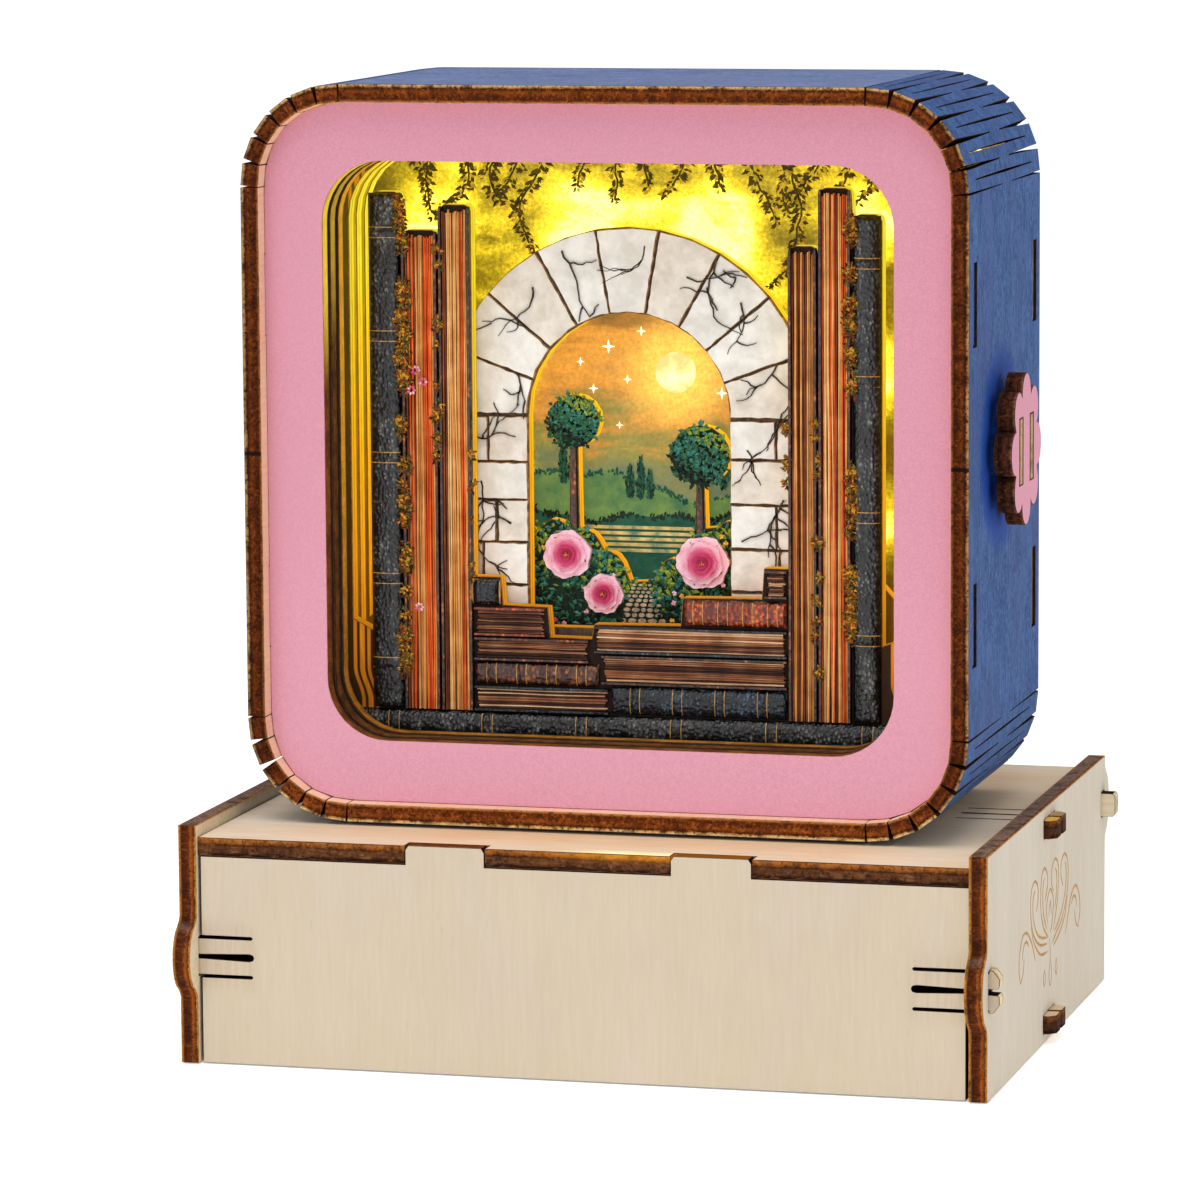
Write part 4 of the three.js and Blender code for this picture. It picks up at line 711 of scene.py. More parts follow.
# =============================================================================================
# picture: shared drawing tools. Points are (x, height above the light box's underside)
# =============================================================================================
class Sheet:
    """Collects low-relief closed solids in front of a board."""

    def __init__(self):
        self.bm = bmesh.new()
        self.mats = []

    def mat(self, m):
        if m not in self.mats:
            self.mats.append(m)
        return self.mats.index(m)

    def prism(self, pts, back, front, m, chamfer=0.0, m_edge=None):
        """Closed solid on outline pts from y=back to y=front (front is the smaller y)."""
        k = self.mat(m)
        area = sum(pts[i][0] * pts[(i + 1) % len(pts)][1] - pts[(i + 1) % len(pts)][0] * pts[i][1] for i in range(len(pts)))
        if area < 0:
            pts = pts[::-1]
        rings = [(pts, back), (pts, front + chamfer)] if chamfer else [(pts, back), (pts, front)]
        if chamfer:
            rings.append((inset(pts, chamfer), front))
        vs = [[self.bm.verts.new((x, y, ZB + z)) for x, z in ring] for ring, y in rings]
        n = len(pts)
        ke = self.mat(m_edge) if m_edge else k
        for a, b in zip(vs, vs[1:]):
            for i in range(n):
                self.face((a[i], a[(i + 1) % n], b[(i + 1) % n], b[i]), ke)
        self.face(vs[-1], k)
        self.face(vs[0][::-1], k)

    def face(self, vs, k):
        try:
            f = self.bm.faces.new(vs)
            f.material_index = k
            return f
        except ValueError:
            return None

    def grid(self, rows, back, m):
        """rows: list of rows of (x, y, z); closed behind at y=back."""
        k = self.mat(m)
        vs = [[self.bm.verts.new((x, y, ZB + z)) for x, y, z in row] for row in rows]
        R, C = len(vs), len(vs[0])
        for i in range(R - 1):
            for j in range(C - 1):
                self.face((vs[i][j], vs[i][j + 1], vs[i + 1][j + 1], vs[i + 1][j]), k)
        ring = [vs[0][j] for j in range(C)] + [vs[i][-1] for i in range(1, R)] + [vs[-1][j] for j in range(C - 2, -1, -1)] + [vs[i][0] for i in range(R - 2, 0, -1)]
        br = [self.bm.verts.new((v.co.x, back, v.co.z)) for v in ring]
        n = len(ring)
        for i in range(n):
            self.face((ring[(i + 1) % n], ring[i], br[i], br[(i + 1) % n]), k)
        self.face(br, k)

    def leaf(self, x, z, y, length, width, ang, m, lift=0.25):
        """A small folded leaf: eight triangles, closed."""
        k = self.mat(m)
        c, s = math.cos(ang), math.sin(ang)

        def P(u, v, d):
            return self.bm.verts.new((x + u * c - v * s, y - d, ZB + z + u * s + v * c))
        a, b = P(0, 0, 0), P(length, 0, lift * 0.5)
        l, r = P(length * 0.45, width / 2, lift * 0.15), P(length * 0.45, -width / 2, lift * 0.15)
        f, q = P(length * 0.5, 0, lift), P(length * 0.5, 0, -0.05)
        for tri in ((a, f, l), (l, f, b), (b, f, r), (r, f, a), (a, l, q), (l, b, q), (b, r, q), (r, a, q)):
            self.face(tri, k)

    def ribbon(self, pts, widths, back, front, m):
        """A thin raised or inlaid line along a polyline, drawn as one closed solid."""
        left, right = [], []
        for i, (x, z) in enumerate(pts):
            a = pts[max(i - 1, 0)]
            b = pts[min(i + 1, len(pts) - 1)]
            dx, dz = b[0] - a[0], b[1] - a[1]
            L = math.hypot(dx, dz) or 1
            w = (widths[i] if isinstance(widths, (list, tuple)) else widths) / 2
            left.append((x - dz / L * w, z + dx / L * w))
            right.append((x + dz / L * w, z - dx / L * w))
        k = self.mat(m)
        n = len(pts)
        fl = [self.bm.verts.new((x, front, ZB + z)) for x, z in left]
        fr = [self.bm.verts.new((x, front, ZB + z)) for x, z in right]
        bl = [self.bm.verts.new((x, back, ZB + z)) for x, z in left]
        br = [self.bm.verts.new((x, back, ZB + z)) for x, z in right]
        for i in range(n - 1):
            self.face((fr[i], fr[i + 1], fl[i + 1], fl[i]), k)
            self.face((bl[i], bl[i + 1], br[i + 1], br[i]), k)
            self.face((fl[i], fl[i + 1], bl[i + 1], bl[i]), k)
            self.face((fr[i + 1], fr[i], br[i], br[i + 1]), k)
        self.face((fl[0], bl[0], br[0], fr[0]), k)
        self.face((fr[-1], br[-1], bl[-1], fl[-1]), k)

    def done(self, name, body="lamp", smooth=40, replaces=(), ply=None):
        bmesh.ops.recalc_face_normals(self.bm, faces=self.bm.faces)
        return finish_mesh(self.bm, name, self.mats, body, ply=ply, smooth=smooth, replaces=replaces)


def inset(pts, d):
    out = []
    n = len(pts)
    for i in range(n):
        p, q, r = pts[i - 1], pts[i], pts[(i + 1) % n]
        a = (q[0] - p[0], q[1] - p[1])
        b = (r[0] - q[0], r[1] - q[1])
        la, lb = math.hypot(*a) or 1, math.hypot(*b) or 1
        na, nb = (-a[1] / la, a[0] / la), (-b[1] / lb, b[0] / lb)
        m = (na[0] + nb[0], na[1] + nb[1])
        L = m[0] * m[0] + m[1] * m[1]
        s = min(2.0 / max(L, 0.35), 3.0)
        out.append((q[0] + m[0] * s * d / 2 * 1.0, q[1] + m[1] * s * d / 2 * 1.0))
    return out


def walk(x, z, ang, step, n, bend, seed):
    r = random.Random(seed)
    pts = [(x, z)]
    for _ in range(n):
        ang += r.uniform(-bend, bend)
        x += math.cos(ang) * step * r.uniform(0.6, 1.4)
        z += math.sin(ang) * step * r.uniform(0.6, 1.4)
        pts.append((x, z))
    return pts


# ---- picture materials ----------------------------------------------------------------------------
def leather(name, a, b, c, scale=1.0):
    g = G(name)
    cell = g.voronoi(g.map((1700 * scale, 1700 * scale, 1300 * scale)), 1.0)
    crease = g.voronoi(g.map((620 * scale, 620 * scale, 1500 * scale), (0.3, 0.7, 0.1)), 1.0)
    wear = g.noise(g.map((420, 420, 220)), 1, 5, 0.7)
    streak = g.noise(g.map((1300, 1300, 90)), 1, 3, 0.6)
    col = g.ramp(g.math("ADD", g.math("MULTIPLY", wear, 0.6), g.math("MULTIPLY", streak, 0.4)), [(0.38, a), (0.52, b), (0.66, c)])
    # pale specks on the raised cells, partly wear and partly painted highlights
    scuff_and_highlight = g.math("MULTIPLY", g.span(cell, 0.0, 0.42, 1, 0), g.span(wear, 0.44, 0.62, 0, 1))
    col = g.mix(g.math("MULTIPLY", scuff_and_highlight, 0.6), col, (min(c[0] * 2.2, 1), min(c[1] * 2.2, 1), min(c[2] * 2.2, 1), 1))
    col = g.mix(g.span(cell, 0.30, 0.62, 0, 0.7), col, (a[0] * 0.3, a[1] * 0.3, a[2] * 0.3, 1))
    # painted shade and light: darker where the surface turns away from the front, slightly brighter where it faces it
    k = g.n("ShaderNodeNewGeometry")
    painted_facing_shade = g.math("ABSOLUTE", g.xyz(k.outputs["Normal"])[1])
    col = g.mix(1.0, col, g.span(painted_facing_shade, 0.55, 0.97, 0.22, 1.15), "MULTIPLY")
    h = g.math("ADD", g.math("MULTIPLY", cell, -0.9), g.math("MULTIPLY", wear, 0.6))
    h = g.math("ADD", h, g.math("MULTIPLY", crease, -0.5))
    return g.shade(col, 0.36, g.bump(h, 0.8, 0.0003), spec=0.6)


def pages(name, a, b, c, axis="z"):
    g = G(name)
    f = g.noise(g.map(scaled(axis, 60, 3000)), 1, 3, 0.6)
    w = g.noise(g.map((240, 240, 240)), 1, 3, 0.6)
    col = g.ramp(g.math("ADD", g.math("MULTIPLY", f, 0.6), g.math("MULTIPLY", w, 0.4)), [(0.36, a), (0.52, b), (0.66, c)])
    return g.shade(col, 0.7, g.bump(f, 0.4, 0.0001), spec=0.25)


def plain(name, a, b, scale=700, rough=0.7, spec=0.3, emit=None, power=0.0, bump=0.3):
    g = G(name)
    f = g.noise(g.map((scale, scale, scale)), 1, 4, 0.62, 0.2)
    col = g.ramp(f, [(0.36, a), (0.64, b)])
    e = g.ramp(f, [(0.3, emit[0]), (0.7, emit[1])]) if emit else None
    return g.shade(col, rough, g.bump(f, bump, 0.00012), spec=spec, emit=e, power=power)


leather_black = leather("leather_black", lin(9, 9, 11), lin(32, 33, 36), lin(116, 118, 114))
leather_umber = leather("leather_umber", lin(44, 20, 10), lin(92, 44, 20), lin(160, 90, 44), 0.8)
leather_rust = leather("leather_rust", lin(104, 34, 12), lin(176, 62, 20), lin(226, 112, 44), 0.9)
leather_navy = leather("leather_navy", lin(6, 9, 14), lin(18, 28, 38), lin(66, 92, 112))
gilt = plain("gilt_line", lin(150, 100, 36), lin(226, 172, 78), 1500, 0.4, 0.5)
page_tan = pages("pages_tan", lin(170, 100, 40), lin(222, 150, 74), lin(246, 196, 122))
page_cream = pages("pages_cream", lin(196, 136, 70), lin(238, 186, 114), lin(252, 220, 160))
page_dark = pages("pages_dark", lin(70, 30, 16), lin(122, 60, 30), lin(170, 96, 50))
page_rust = pages("pages_rust", lin(170, 58, 16), lin(230, 92, 28), lin(252, 146, 66))
page_black = pages("pages_shadow", lin(16, 10, 8), lin(30, 18, 13), lin(52, 32, 22))
page_h_dark = pages("pages_lying_dark", lin(34, 18, 14), lin(66, 36, 26), lin(116, 72, 52), "x")
page_h_mid = pages("pages_lying_mid", lin(96, 54, 34), lin(150, 94, 62), lin(206, 150, 106), "x")
page_h_tan = pages("pages_lying_tan", lin(170, 118, 80), lin(226, 174, 128), lin(250, 214, 172), "x")
moss_gold = plain("moss_gold", lin(140, 88, 14), lin(244, 176, 48), 900, 0.8)
moss_olive = plain("moss_olive", lin(50, 50, 16), lin(140, 126, 44), 900, 0.8)
moss_shadow = plain("moss_shadow", lin(26, 18, 8), lin(66, 46, 18), 900, 0.85)
stone_burn = plain("stone_toasted_edge", lin(126, 88, 48), lin(206, 164, 110), 900, 0.85, 0.15)
moss_rust = plain("moss_rust", lin(96, 42, 12), lin(176, 84, 24), 900, 0.8)
stone = plain("pale_stone", lin(222, 217, 208), lin(246, 243, 236), 260, 0.82, 0.2, bump=0.5)
stone_warm = plain("pale_stone_warm", lin(214, 204, 190), lin(240, 232, 220), 300, 0.82, 0.2, bump=0.5)
crack = plain("crack_line", lin(44, 34, 28), lin(96, 80, 66), 1400, 0.85, 0.1)
mortar = paint("mortar_print", lin(92, 78, 64), lin(60, 48, 40), lin(130, 114, 96), lin(84, 70, 60), "z", 0.8, gold=painted_border_glow(1.0))
garden_ground = paint("garden_print", lin(24, 48, 34), lin(12, 30, 22), lin(44, 74, 44), lin(20, 52, 48), "z", 0.7, gold=painted_border_glow(1.1))
leaf_a = plain("leaf_deep_green", lin(14, 60, 46), lin(42, 112, 74), 1600, 0.55, 0.4)
leaf_b = plain("leaf_teal", lin(20, 84, 84), lin(64, 150, 132), 1600, 0.5, 0.4)
leaf_c = plain("leaf_olive", lin(84, 110, 30), lin(160, 180, 60), 1600, 0.6, 0.35)
leaf_d = plain("leaf_shadow", lin(8, 24, 18), lin(20, 48, 34), 1600, 0.6, 0.3)
petal_pale = plain("petal_pale", lin(236, 150, 178), lin(252, 214, 224), 700, 0.6, 0.3)
petal_deep = plain("petal_deep", lin(206, 62, 110), lin(236, 118, 156), 700, 0.6, 0.3)
pollen = plain("pollen", lin(226, 150, 30), lin(250, 214, 90), 1800, 0.7)
cobble = plain("cobble", lin(150, 132, 108), lin(206, 190, 162), 900, 0.8)

def edge_glow(strength):
    def f(g, ply, fine):
        # light from behind catches each cut edge: golden yellow at the top, orange lower down
        x, _, z = g.xyz()
        up = g.span(z, 0.046, 0.128, 0.0, 1.0, "LINEAR")
        band = g.ramp(ply, [(0.0, (0.20, 0.20, 0.20, 1)), (0.10, (0.42, 0.42, 0.42, 1)), (0.20, (1, 1, 1, 1)), (0.38, (0.86, 0.86, 0.86, 1)), (0.48, (0.5, 0.5, 0.5, 1)), (0.58, (0.95, 0.95, 0.95, 1)), (0.80, (1, 1, 1, 1)), (0.93, (0.55, 0.55, 0.55, 1)), (1.0, (0.3, 0.3, 0.3, 1))])
        col = g.ramp(up, [(0.0, (0.16, 0.045, 0.002, 1)), (0.16, (0.34, 0.12, 0.003, 1)), (0.38, (0.84, 0.32, 0.004, 1)), (0.62, (0.93, 0.46, 0.006, 1)), (0.86, (0.95, 0.66, 0.012, 1)), (1.0, (0.95, 0.78, 0.03, 1))])
        grain = g.span(fine, 0.3, 0.7, 0.72, 1.12, "LINEAR")
        inside = g.span(g.math("ABSOLUTE", x), 0.0555, 0.0562, 1, 0)
        return g.mix(1.0, col, g.math("MULTIPLY", g.math("MULTIPLY", band, inside), g.math("MULTIPLY", grain, strength)), "MULTIPLY")
    return f


TAN_E = (lin(120, 70, 18), lin(60, 30, 8), lin(116, 66, 16), lin(140, 86, 24), lin(56, 28, 8))
edge_l1 = burnt("glowing_edge_1", "y", *TAN_E, glow=edge_glow(1.0))
edge_l2 = burnt("glowing_edge_2", "y", *TAN_E, glow=edge_glow(1.2))
edge_l3 = burnt("glowing_edge_3", "y", *TAN_E, glow=edge_glow(1.3))
rim_l = plain("warm_rim", lin(110, 62, 22), lin(186, 124, 52), 900, 0.7)
dark_gold = paint("umber_print_lit", lin(34, 17, 10), lin(22, 11, 7), lin(52, 28, 16), lin(30, 16, 11), "z", 0.7, gold=painted_glow_lines)
board("picture_board_1", "y", dark_gold, ply_inside, edge_l1, rim_l, width=0.1)
board("picture_board_2", "y", mortar, ply_inside, edge_l2, rim_l, width=0.1)
board("picture_board_3", "y", garden_ground, ply_inside, edge_l3, rim_l, width=0.1)

# ---- board 1: closed books standing left and right, and lying flat between them --------------------
Y1 = -11.7
books = Sheet()
BOOKS_L = [(-43.9, -38.3, 101.6), (-38.1, -32.0, 95.4), (-31.8, -26.4, 99.6)]
BOOKS_R = [(42.2, 37.4, 98.8), (37.2, 31.8, 103.0), (31.6, 26.8, 93.6)]
FLOOR = 16.4


def spine(x0, x1, z0, z1, m, bulge=0.95, bands=(), band_h=0.3, gilding=True, m_gilt=gilt):
    """Rounded spine with raised bands; its height follows a half ellipse across."""
    cx, hw = (x0 + x1) / 2, (x1 - x0) / 2 - 0.12
    zs, z = [], z0
    while z < z1 - 0.01:
        zs.append(z)
        near = min([abs(z - b) for b in bands] + [abs(z - z1), abs(z - z0), 9])
        z += 0.28 if near < 1.5 else 1.1
    zs.append(z1)
    rows = []
    for z in zs:
        e = min(z - z0, z1 - z)
        cap = math.sqrt(max(0.0, 1 - (1 - min(e / 1.1, 1)) ** 2)) * 0.9 + 0.1
        lift = sum(band_h * math.exp(-((z - b) / 0.42) ** 2) for b in bands)
        row = []
        for j in range(13):
            u = -1 + j / 6
            prof = math.sqrt(max(0.0, 1 - (abs(u) ** 2.4) * 0.985))
            row.append((cx + u * hw * (0.985 + 0.015 * cap), Y1 - 0.04 - (bulge * cap + lift * min(1, cap)) * prof, z))
        rows.append(row)
    books.grid(rows, Y1 + 0.03, m)
    if gilding:
        for b in bands:
            for d in (-0.85, 0.85):
                pts = [(cx + hw * math.sin(a), b + d) for a in [(-1.25 + 2.5 * k / 10) for k in range(11)]]
                rows = []
                for dz in (-0.07, 0.07):
                    rows.append([(x, Y1 - 0.04 - (bulge + band_h * math.exp(-(d / 0.42) ** 2)) * math.sqrt(max(0.0, 1 - (abs((x - cx) / hw) ** 2.4) * 0.985)) - 0.035, z + dz) for x, z in pts])
                books.grid(rows, Y1 - 0.3, m_gilt)


def fore_edge(x0, x1, z0, z1, picks, seed, cover, pitch=0.33, lean=0.0):
    """Page block seen from its fore edge, between two covers: many thin leaves of uneven height."""
    r = random.Random(seed)
    lo, hi = min(x0, x1), max(x0, x1)
    for a, b in ((lo, lo + 0.62), (hi - 0.62, hi)):
        books.prism([(a + 0.05, z0), (b, z0), (b, z1 - 0.5), (b - 0.12, z1 - 0.05), (a + 0.2, z1), (a + 0.05, z1 - 0.6)], Y1 + 0.03, Y1 - 1.05, cover, 0.2)
    x = lo + 0.68
    while x < hi - 0.75:
        w = pitch * r.uniform(0.62, 1.25)
        m = r.choice(picks)
        top = z1 - r.uniform(0.5, 1.1)
        ph, am = r.uniform(0, 6), r.uniform(0.02, 0.10)
        n = 18
        L = [(x + am * math.sin(ph + 7 * i / n) + am * 0.5 * math.sin(ph * 2 + 19 * i / n), z0 + (top - z0) * i / n) for i in range(n + 1)]
        R = [(px + w * 0.76, pz) for px, pz in L]
        d = r.uniform(0.25, 0.85)
        books.prism(L + R[::-1], Y1 + 0.03, Y1 - d, m, 0.08)
        x += w


vert = [page_tan, page_cream, page_rust, page_tan, page_cream, page_dark, page_cream]
ember = [page_rust, page_tan, page_cream, page_tan, page_dark, page_rust, page_cream]
x0, x1, z1 = BOOKS_L[0]
spine(x0, x1, FLOOR, z1 - 0.2, leather_black, 1.25, bands=(95, 78, 58, 38, 24), band_h=0.35)
x0, x1, z1 = BOOKS_L[1]
fore_edge(x0, x1, FLOOR, z1 - 0.25, ember, 11, leather_umber)
x0, x1, z1 = BOOKS_L[2]
fore_edge(x0, x1, FLOOR, z1 - 0.25, vert, 12, leather_umber)
x1, x0, z1 = BOOKS_R[0]
spine(x0, x1, FLOOR, z1 - 0.2, leather_black, 1.25, bands=(91, 72, 50, 30), band_h=0.35)
x1, x0, z1 = BOOKS_R[1]
fore_edge(x0, x1, FLOOR, z1 - 0.25, ember, 13, leather_umber)
x1, x0, z1 = BOOKS_R[2]
fore_edge(x0, x1, FLOOR, z1 - 0.25, vert, 14, leather_umber)


def lying(x0, x1, z0, z1, kind, seed, cover):
    """A book lying flat: spine with bands, or fore edge between its covers."""
    r = random.Random(seed)
    if kind == "spine":
        cz, hh = (z0 + z1) / 2, (z1 - z0) / 2 - 0.1
        bands = [x0 + (x1 - x0) * f for f in (0.14, 0.38, 0.62, 0.86)]
        xs, x = [], x0 + 0.1
        while x < x1 - 0.11:
            xs.append(x)
            near = min([abs(x - b) for b in bands] + [abs(x - x0), abs(x - x1)])
            x += 0.28 if near < 1.3 else 1.0
        xs.append(x1 - 0.1)
        rows = []
        for j in range(11):
            u = -1 + j / 5
            prof = math.sqrt(max(0.0, 1 - abs(u) ** 2.4 * 0.985))
            rows.append([(x, Y1 - 0.04 - (0.95 + sum(0.26 * math.exp(-((x - b) / 0.42) ** 2) for b in bands)) * prof * min(1, 0.3 + (min(x - x0, x1 - x) / 0.8)), cz + u * hh) for x in xs])
        books.grid(rows[::-1], Y1 + 0.03, cover)
        for b in bands:
            for d in (-0.8, 0.8):
                rows = []
                for j in range(9):
                    u = -0.9 + 1.8 * j / 8
                    prof = math.sqrt(max(0.0, 1 - abs(u) ** 2.4 * 0.985))
                    rows.append([(b + d + e, Y1 - 0.04 - 0.97 * prof - 0.03, cz + u * hh) for e in (-0.06, 0.06)])
                books.grid(rows[::-1], Y1 - 0.25, gilt)
        return
    t = 0.5
    for a, b in ((z0 + 0.04, z0 + t), (z1 - t, z1 - 0.04)):
        books.prism([(x0, a), (x1, a), (x1, b), (x0, b)], Y1 + 0.03, Y1 - 1.05, cover, 0.13)
    z = z0 + t + 0.04
    while z < z1 - t - 0.1:
        h = r.uniform(0.2, 0.42)
        m = r.choice([page_h_dark, page_h_mid, page_h_mid, page_h_tan, page_h_dark])
        ph, am = r.uniform(0, 6), r.uniform(0.01, 0.05)
        a0, a1 = x0 + r.uniform(0.3, 0.8), x1 - r.uniform(0.3, 0.8)
        n = 16
        B = [(a0 + (a1 - a0) * i / n, z + am * math.sin(ph + 8 * i / n)) for i in range(n + 1)]
        U = [(px, min(pz + h * 0.84, z1 - t)) for px, pz in B]
        books.prism(B + U[::-1], Y1 + 0.03, Y1 - r.uniform(0.35, 0.8), m, 0.06)
        z += h


STACK = [(-26.2, -3.4, FLOOR, 20.7, "pages", leather_navy), (-26.2, -5.0, 20.8, 24.7, "spine", leather_umber), (-26.2, -6.7, 24.8, 28.7, "pages", leather_umber),
         (-26.2, -14.1, 28.9, 33.7, "pages", leather_rust), (-26.2, -22.0, 33.9, 38.4, "spine", leather_navy),
         (-3.1, 26.6, FLOOR, 21.3, "spine", leather_navy), (-4.6, 26.6, 21.4, 26.3, "pages", leather_umber), (-5.8, 26.6, 26.5, 31.1, "pages", leather_navy),
         (9.3, 26.6, 31.4, 35.9, "spine", leather_rust), (22.9, 26.6, 36.3, 41.0, "pages", leather_umber)]
for i, (a, b, c, d, kind, cov) in enumerate(STACK):
    lying(a, b, c, d, kind, 40 + i, cov)
# shelf under the books
bands = [-40.0, -24.0, -8.0, 8.0, 24.0, 40.0]
xs, x = [], -46.8
while x < 46.8:
    xs.append(x)
    x += 0.3 if min(abs(x - b) for b in bands) < 1.5 else 1.2
xs.append(46.8)
rows = []
for j in range(13):
    u = -1 + j / 6
    prof = math.sqrt(max(0.0, 1 - abs(u) ** 2.4 * 0.985))
    rows.append([(x, Y1 - 0.04 - (1.25 + sum(0.3 * math.exp(-((x - b) / 0.45) ** 2) for b in bands)) * prof * min(1, 0.35 + (46.8 - abs(x)) / 1.2), 14.1 + u * 2.15) for x in xs])
books.grid(rows[::-1], Y1 + 0.03, leather_black)
for b in bands:
    for d in (-0.9, 0.9):
        rows = []
        for j in range(9):
            u = -0.88 + 1.76 * j / 8
            prof = math.sqrt(max(0.0, 1 - abs(u) ** 2.4 * 0.985))
            rows.append([(b + d + e, Y1 - 0.04 - 1.27 * prof - 0.03, 14.1 + u * 2.15) for e in (-0.07, 0.07)])
        books.grid(rows[::-1], Y1 - 0.3, gilt)
# moss and tiny leaves that creep up between the books
r = random.Random(5)
for cx, lo, hi, spread, clumps in ((-38.1, 20, 101, 1.25, 34), (37.3, 22, 99, 1.2, 33), (-31.9, 56, 96, 0.8, 11), (31.7, 24, 72, 0.8, 12), (-26.3, 38, 62, 0.55, 6), (26.7, 42, 70, 0.55, 6)):
    for _ in range(clumps):
        zc = r.uniform(lo, hi)
        rad = r.uniform(0.55, 1.0) * spread
        tall = rad * r.uniform(1.2, 2.4)
        xc = cx + r.uniform(-0.4, 0.4) * spread
        for _ in range(int(46 * rad * tall) + 10):
            a, d = r.uniform(0, 6.28), math.sqrt(r.random())
            x, z = xc + d * rad * math.cos(a), zc + d * tall * math.sin(a)
            deep = 1.45 - 0.75 * d + r.uniform(-0.15, 0.1)
            m = r.choice([moss_gold, moss_olive, moss_gold, moss_rust]) if d < 0.75 and math.sin(a) > -0.4 else r.choice([moss_olive, moss_shadow, moss_rust])
            books.leaf(x, z, Y1 - max(0.35, deep), r.uniform(0.45, 0.95), r.uniform(0.3, 0.5), r.uniform(0, 6.28), m, 0.2)
for cx, cz in ((-35.6, 72.5), (-34.4, 70.6), (-36.4, 69.2), (-35.4, 33.4)):
    for k in range(7):
        a = k * 0.9
        books.leaf(cx + 0.25 * math.cos(a), cz + 0.25 * math.sin(a), Y1 - 1.2, 0.62, 0.5, a, r.choice([petal_pale, petal_deep]), 0.2)
books.done("books_relief")

# ---- board 2: cracked pale stone arch ---------------------------------------------------------------
Y2 = -7.4
ACX, RI_, RO_, SPRING = -1.0, 17.0, 31.0, 65.0
arch = Sheet()
r = random.Random(8)
blocks = []
N = 9
for k in range(N):
    a0, a1 = math.pi * k / N, math.pi * (k + 1) / N
    key = k == N // 2
    ri, ro = (RI_ + 0.15, RO_ - 0.15)
    d0, d1 = 0.18 / ri, 0.18 / ro
    inner = [(ACX + ri * math.cos(a0 + d0 + (a1 - a0 - 2 * d0) * i / 4), SPRING + ri * math.sin(a0 + d0 + (a1 - a0 - 2 * d0) * i / 4)) for i in range(5)]
    outer = [(ACX + ro * math.cos(a0 + d1 + (a1 - a0 - 2 * d1) * i / 5), SPRING + ro * math.sin(a0 + d1 + (a1 - a0 - 2 * d1) * i / 5)) for i in range(6)]
    blocks.append((inner + outer[::-1], 0.85 if key else 0.5 + 0.2 * r.random()))
for s in (-1, 1):
    xi, xo = ACX + s * (RI_ + 0.15), ACX + s * (RO_ - 0.15)
    z = SPRING - 0.2
    row = 0
    while z > 26:
        h = r.uniform(6.2, 8.4)
        zb = z - h
        cuts = [0, 1] if row % 3 == 1 else [0, 0.35 + 0.3 * r.random(), 1]
        for a, b in zip(cuts, cuts[1:]):
            xa, xb = xi + (xo - xi) * a, xi + (xo - xi) * b
            ga, gb = (0 if a == 0 else s * 0.16), (0 if b == 1 else -s * 0.16)
            p = [(xa + ga, zb + 0.16), (xb + gb, zb + 0.16 + r.uniform(-0.08, 0.08)), (xb + gb, z - 0.16), (xa + ga, z - 0.16 + r.uniform(-0.08, 0.08))]
            blocks.append((p, 0.45 + 0.3 * r.random()))
        z = zb
        row += 1


def broken(pts, seed, amp=0.10):
    """Worn outline: every side gets a few small seeded chips."""
    q = random.Random(seed)
    out = []
    n = len(pts)
    for i in range(n):
        a, b = pts[i], pts[(i + 1) % n]
        L = math.hypot(b[0] - a[0], b[1] - a[1])
        k = max(1, int(L / 1.1))
        for j in range(k):
            t = j / k
            out.append((a[0] + (b[0] - a[0]) * t + q.uniform(-amp, amp), a[1] + (b[1] - a[1]) * t + q.uniform(-amp, amp)))
    return out


for i, (p, h) in enumerate(blocks):
    arch.prism(broken(p, 100 + i), Y2 + 0.03, Y2 - h, stone if i % 3 else stone_warm, 0.24, stone_burn)
# cracks: branching dark lines just proud of the stone
q = random.Random(31)
starts = [(-30, 88, -1.0), (-24, 80, -2.0), (-20, 72, -1.3), (-29, 62, 0.2), (-26, 54, -1.1), (-21, 47, 2.6), (-12, 92, -0.6), (2, 93, -1.7), (9, 88, -0.4), (18, 84, -1.2),
          (24, 74, -1.9), (28, 66, 2.9), (19, 60, -0.9), (25, 52, -1.4), (18, 45, 0.5), (-31, 44, 0.4), (14, 91, -2.2), (-17, 86, -1.9), (29, 45, 2.2), (22, 90, -2.5)]
for i, (x, z, a) in enumerate(starts):
    main = walk(x, z, a, 1.0, q.randint(8, 15), 0.55, 200 + i)
    branches = [main]
    for _ in range(3):
        k = q.randint(2, len(main) - 3)
        branches.append(walk(main[k][0], main[k][1], a + q.choice([-1, 1]) * q.uniform(0.6, 1.3), 0.8, q.randint(3, 7), 0.6, q.randint(0, 9999)))
    for b in branches:
        keep = []
        for x_, z_ in b:
            rr = math.hypot(x_ - ACX, z_ - SPRING)
            ok = (RI_ + 0.4 < rr < RO_ - 0.4) if z_ > SPRING else (RI_ + 0.4 < abs(x_ - ACX) < RO_ - 0.4 and z_ > 27)
            if not ok:
                break
            keep.append((x_, z_))
        if len(keep) > 2:
            w = [0.27 * (1 - 0.82 * j / len(keep)) for j in range(len(keep))]
            arch.ribbon(keep, w, Y2 - 0.3, Y2 - 0.88, crack)
arch.done("stone_arch_relief")

# ---- board 3: clipped hedges, two ball trees and a cobbled path -----------------------------------------
Y3 = -2.9
garden = Sheet()
q = random.Random(77)


def hedge_top(x):
    if x > 12.6:
        return 46.6 - (x - 12.6) * 6.6 / 27.4
    if x > 2.2:
        return 38.2 + (x - 2.2) * (44 - 38.2) / 6.4 if x < 8.6 else 45.5
    if x > -2.4:
        return 37.2
    if x > -10.2:
        return 38.4 + (-2.4 - x) * 7.0 / 7.8
    return 46


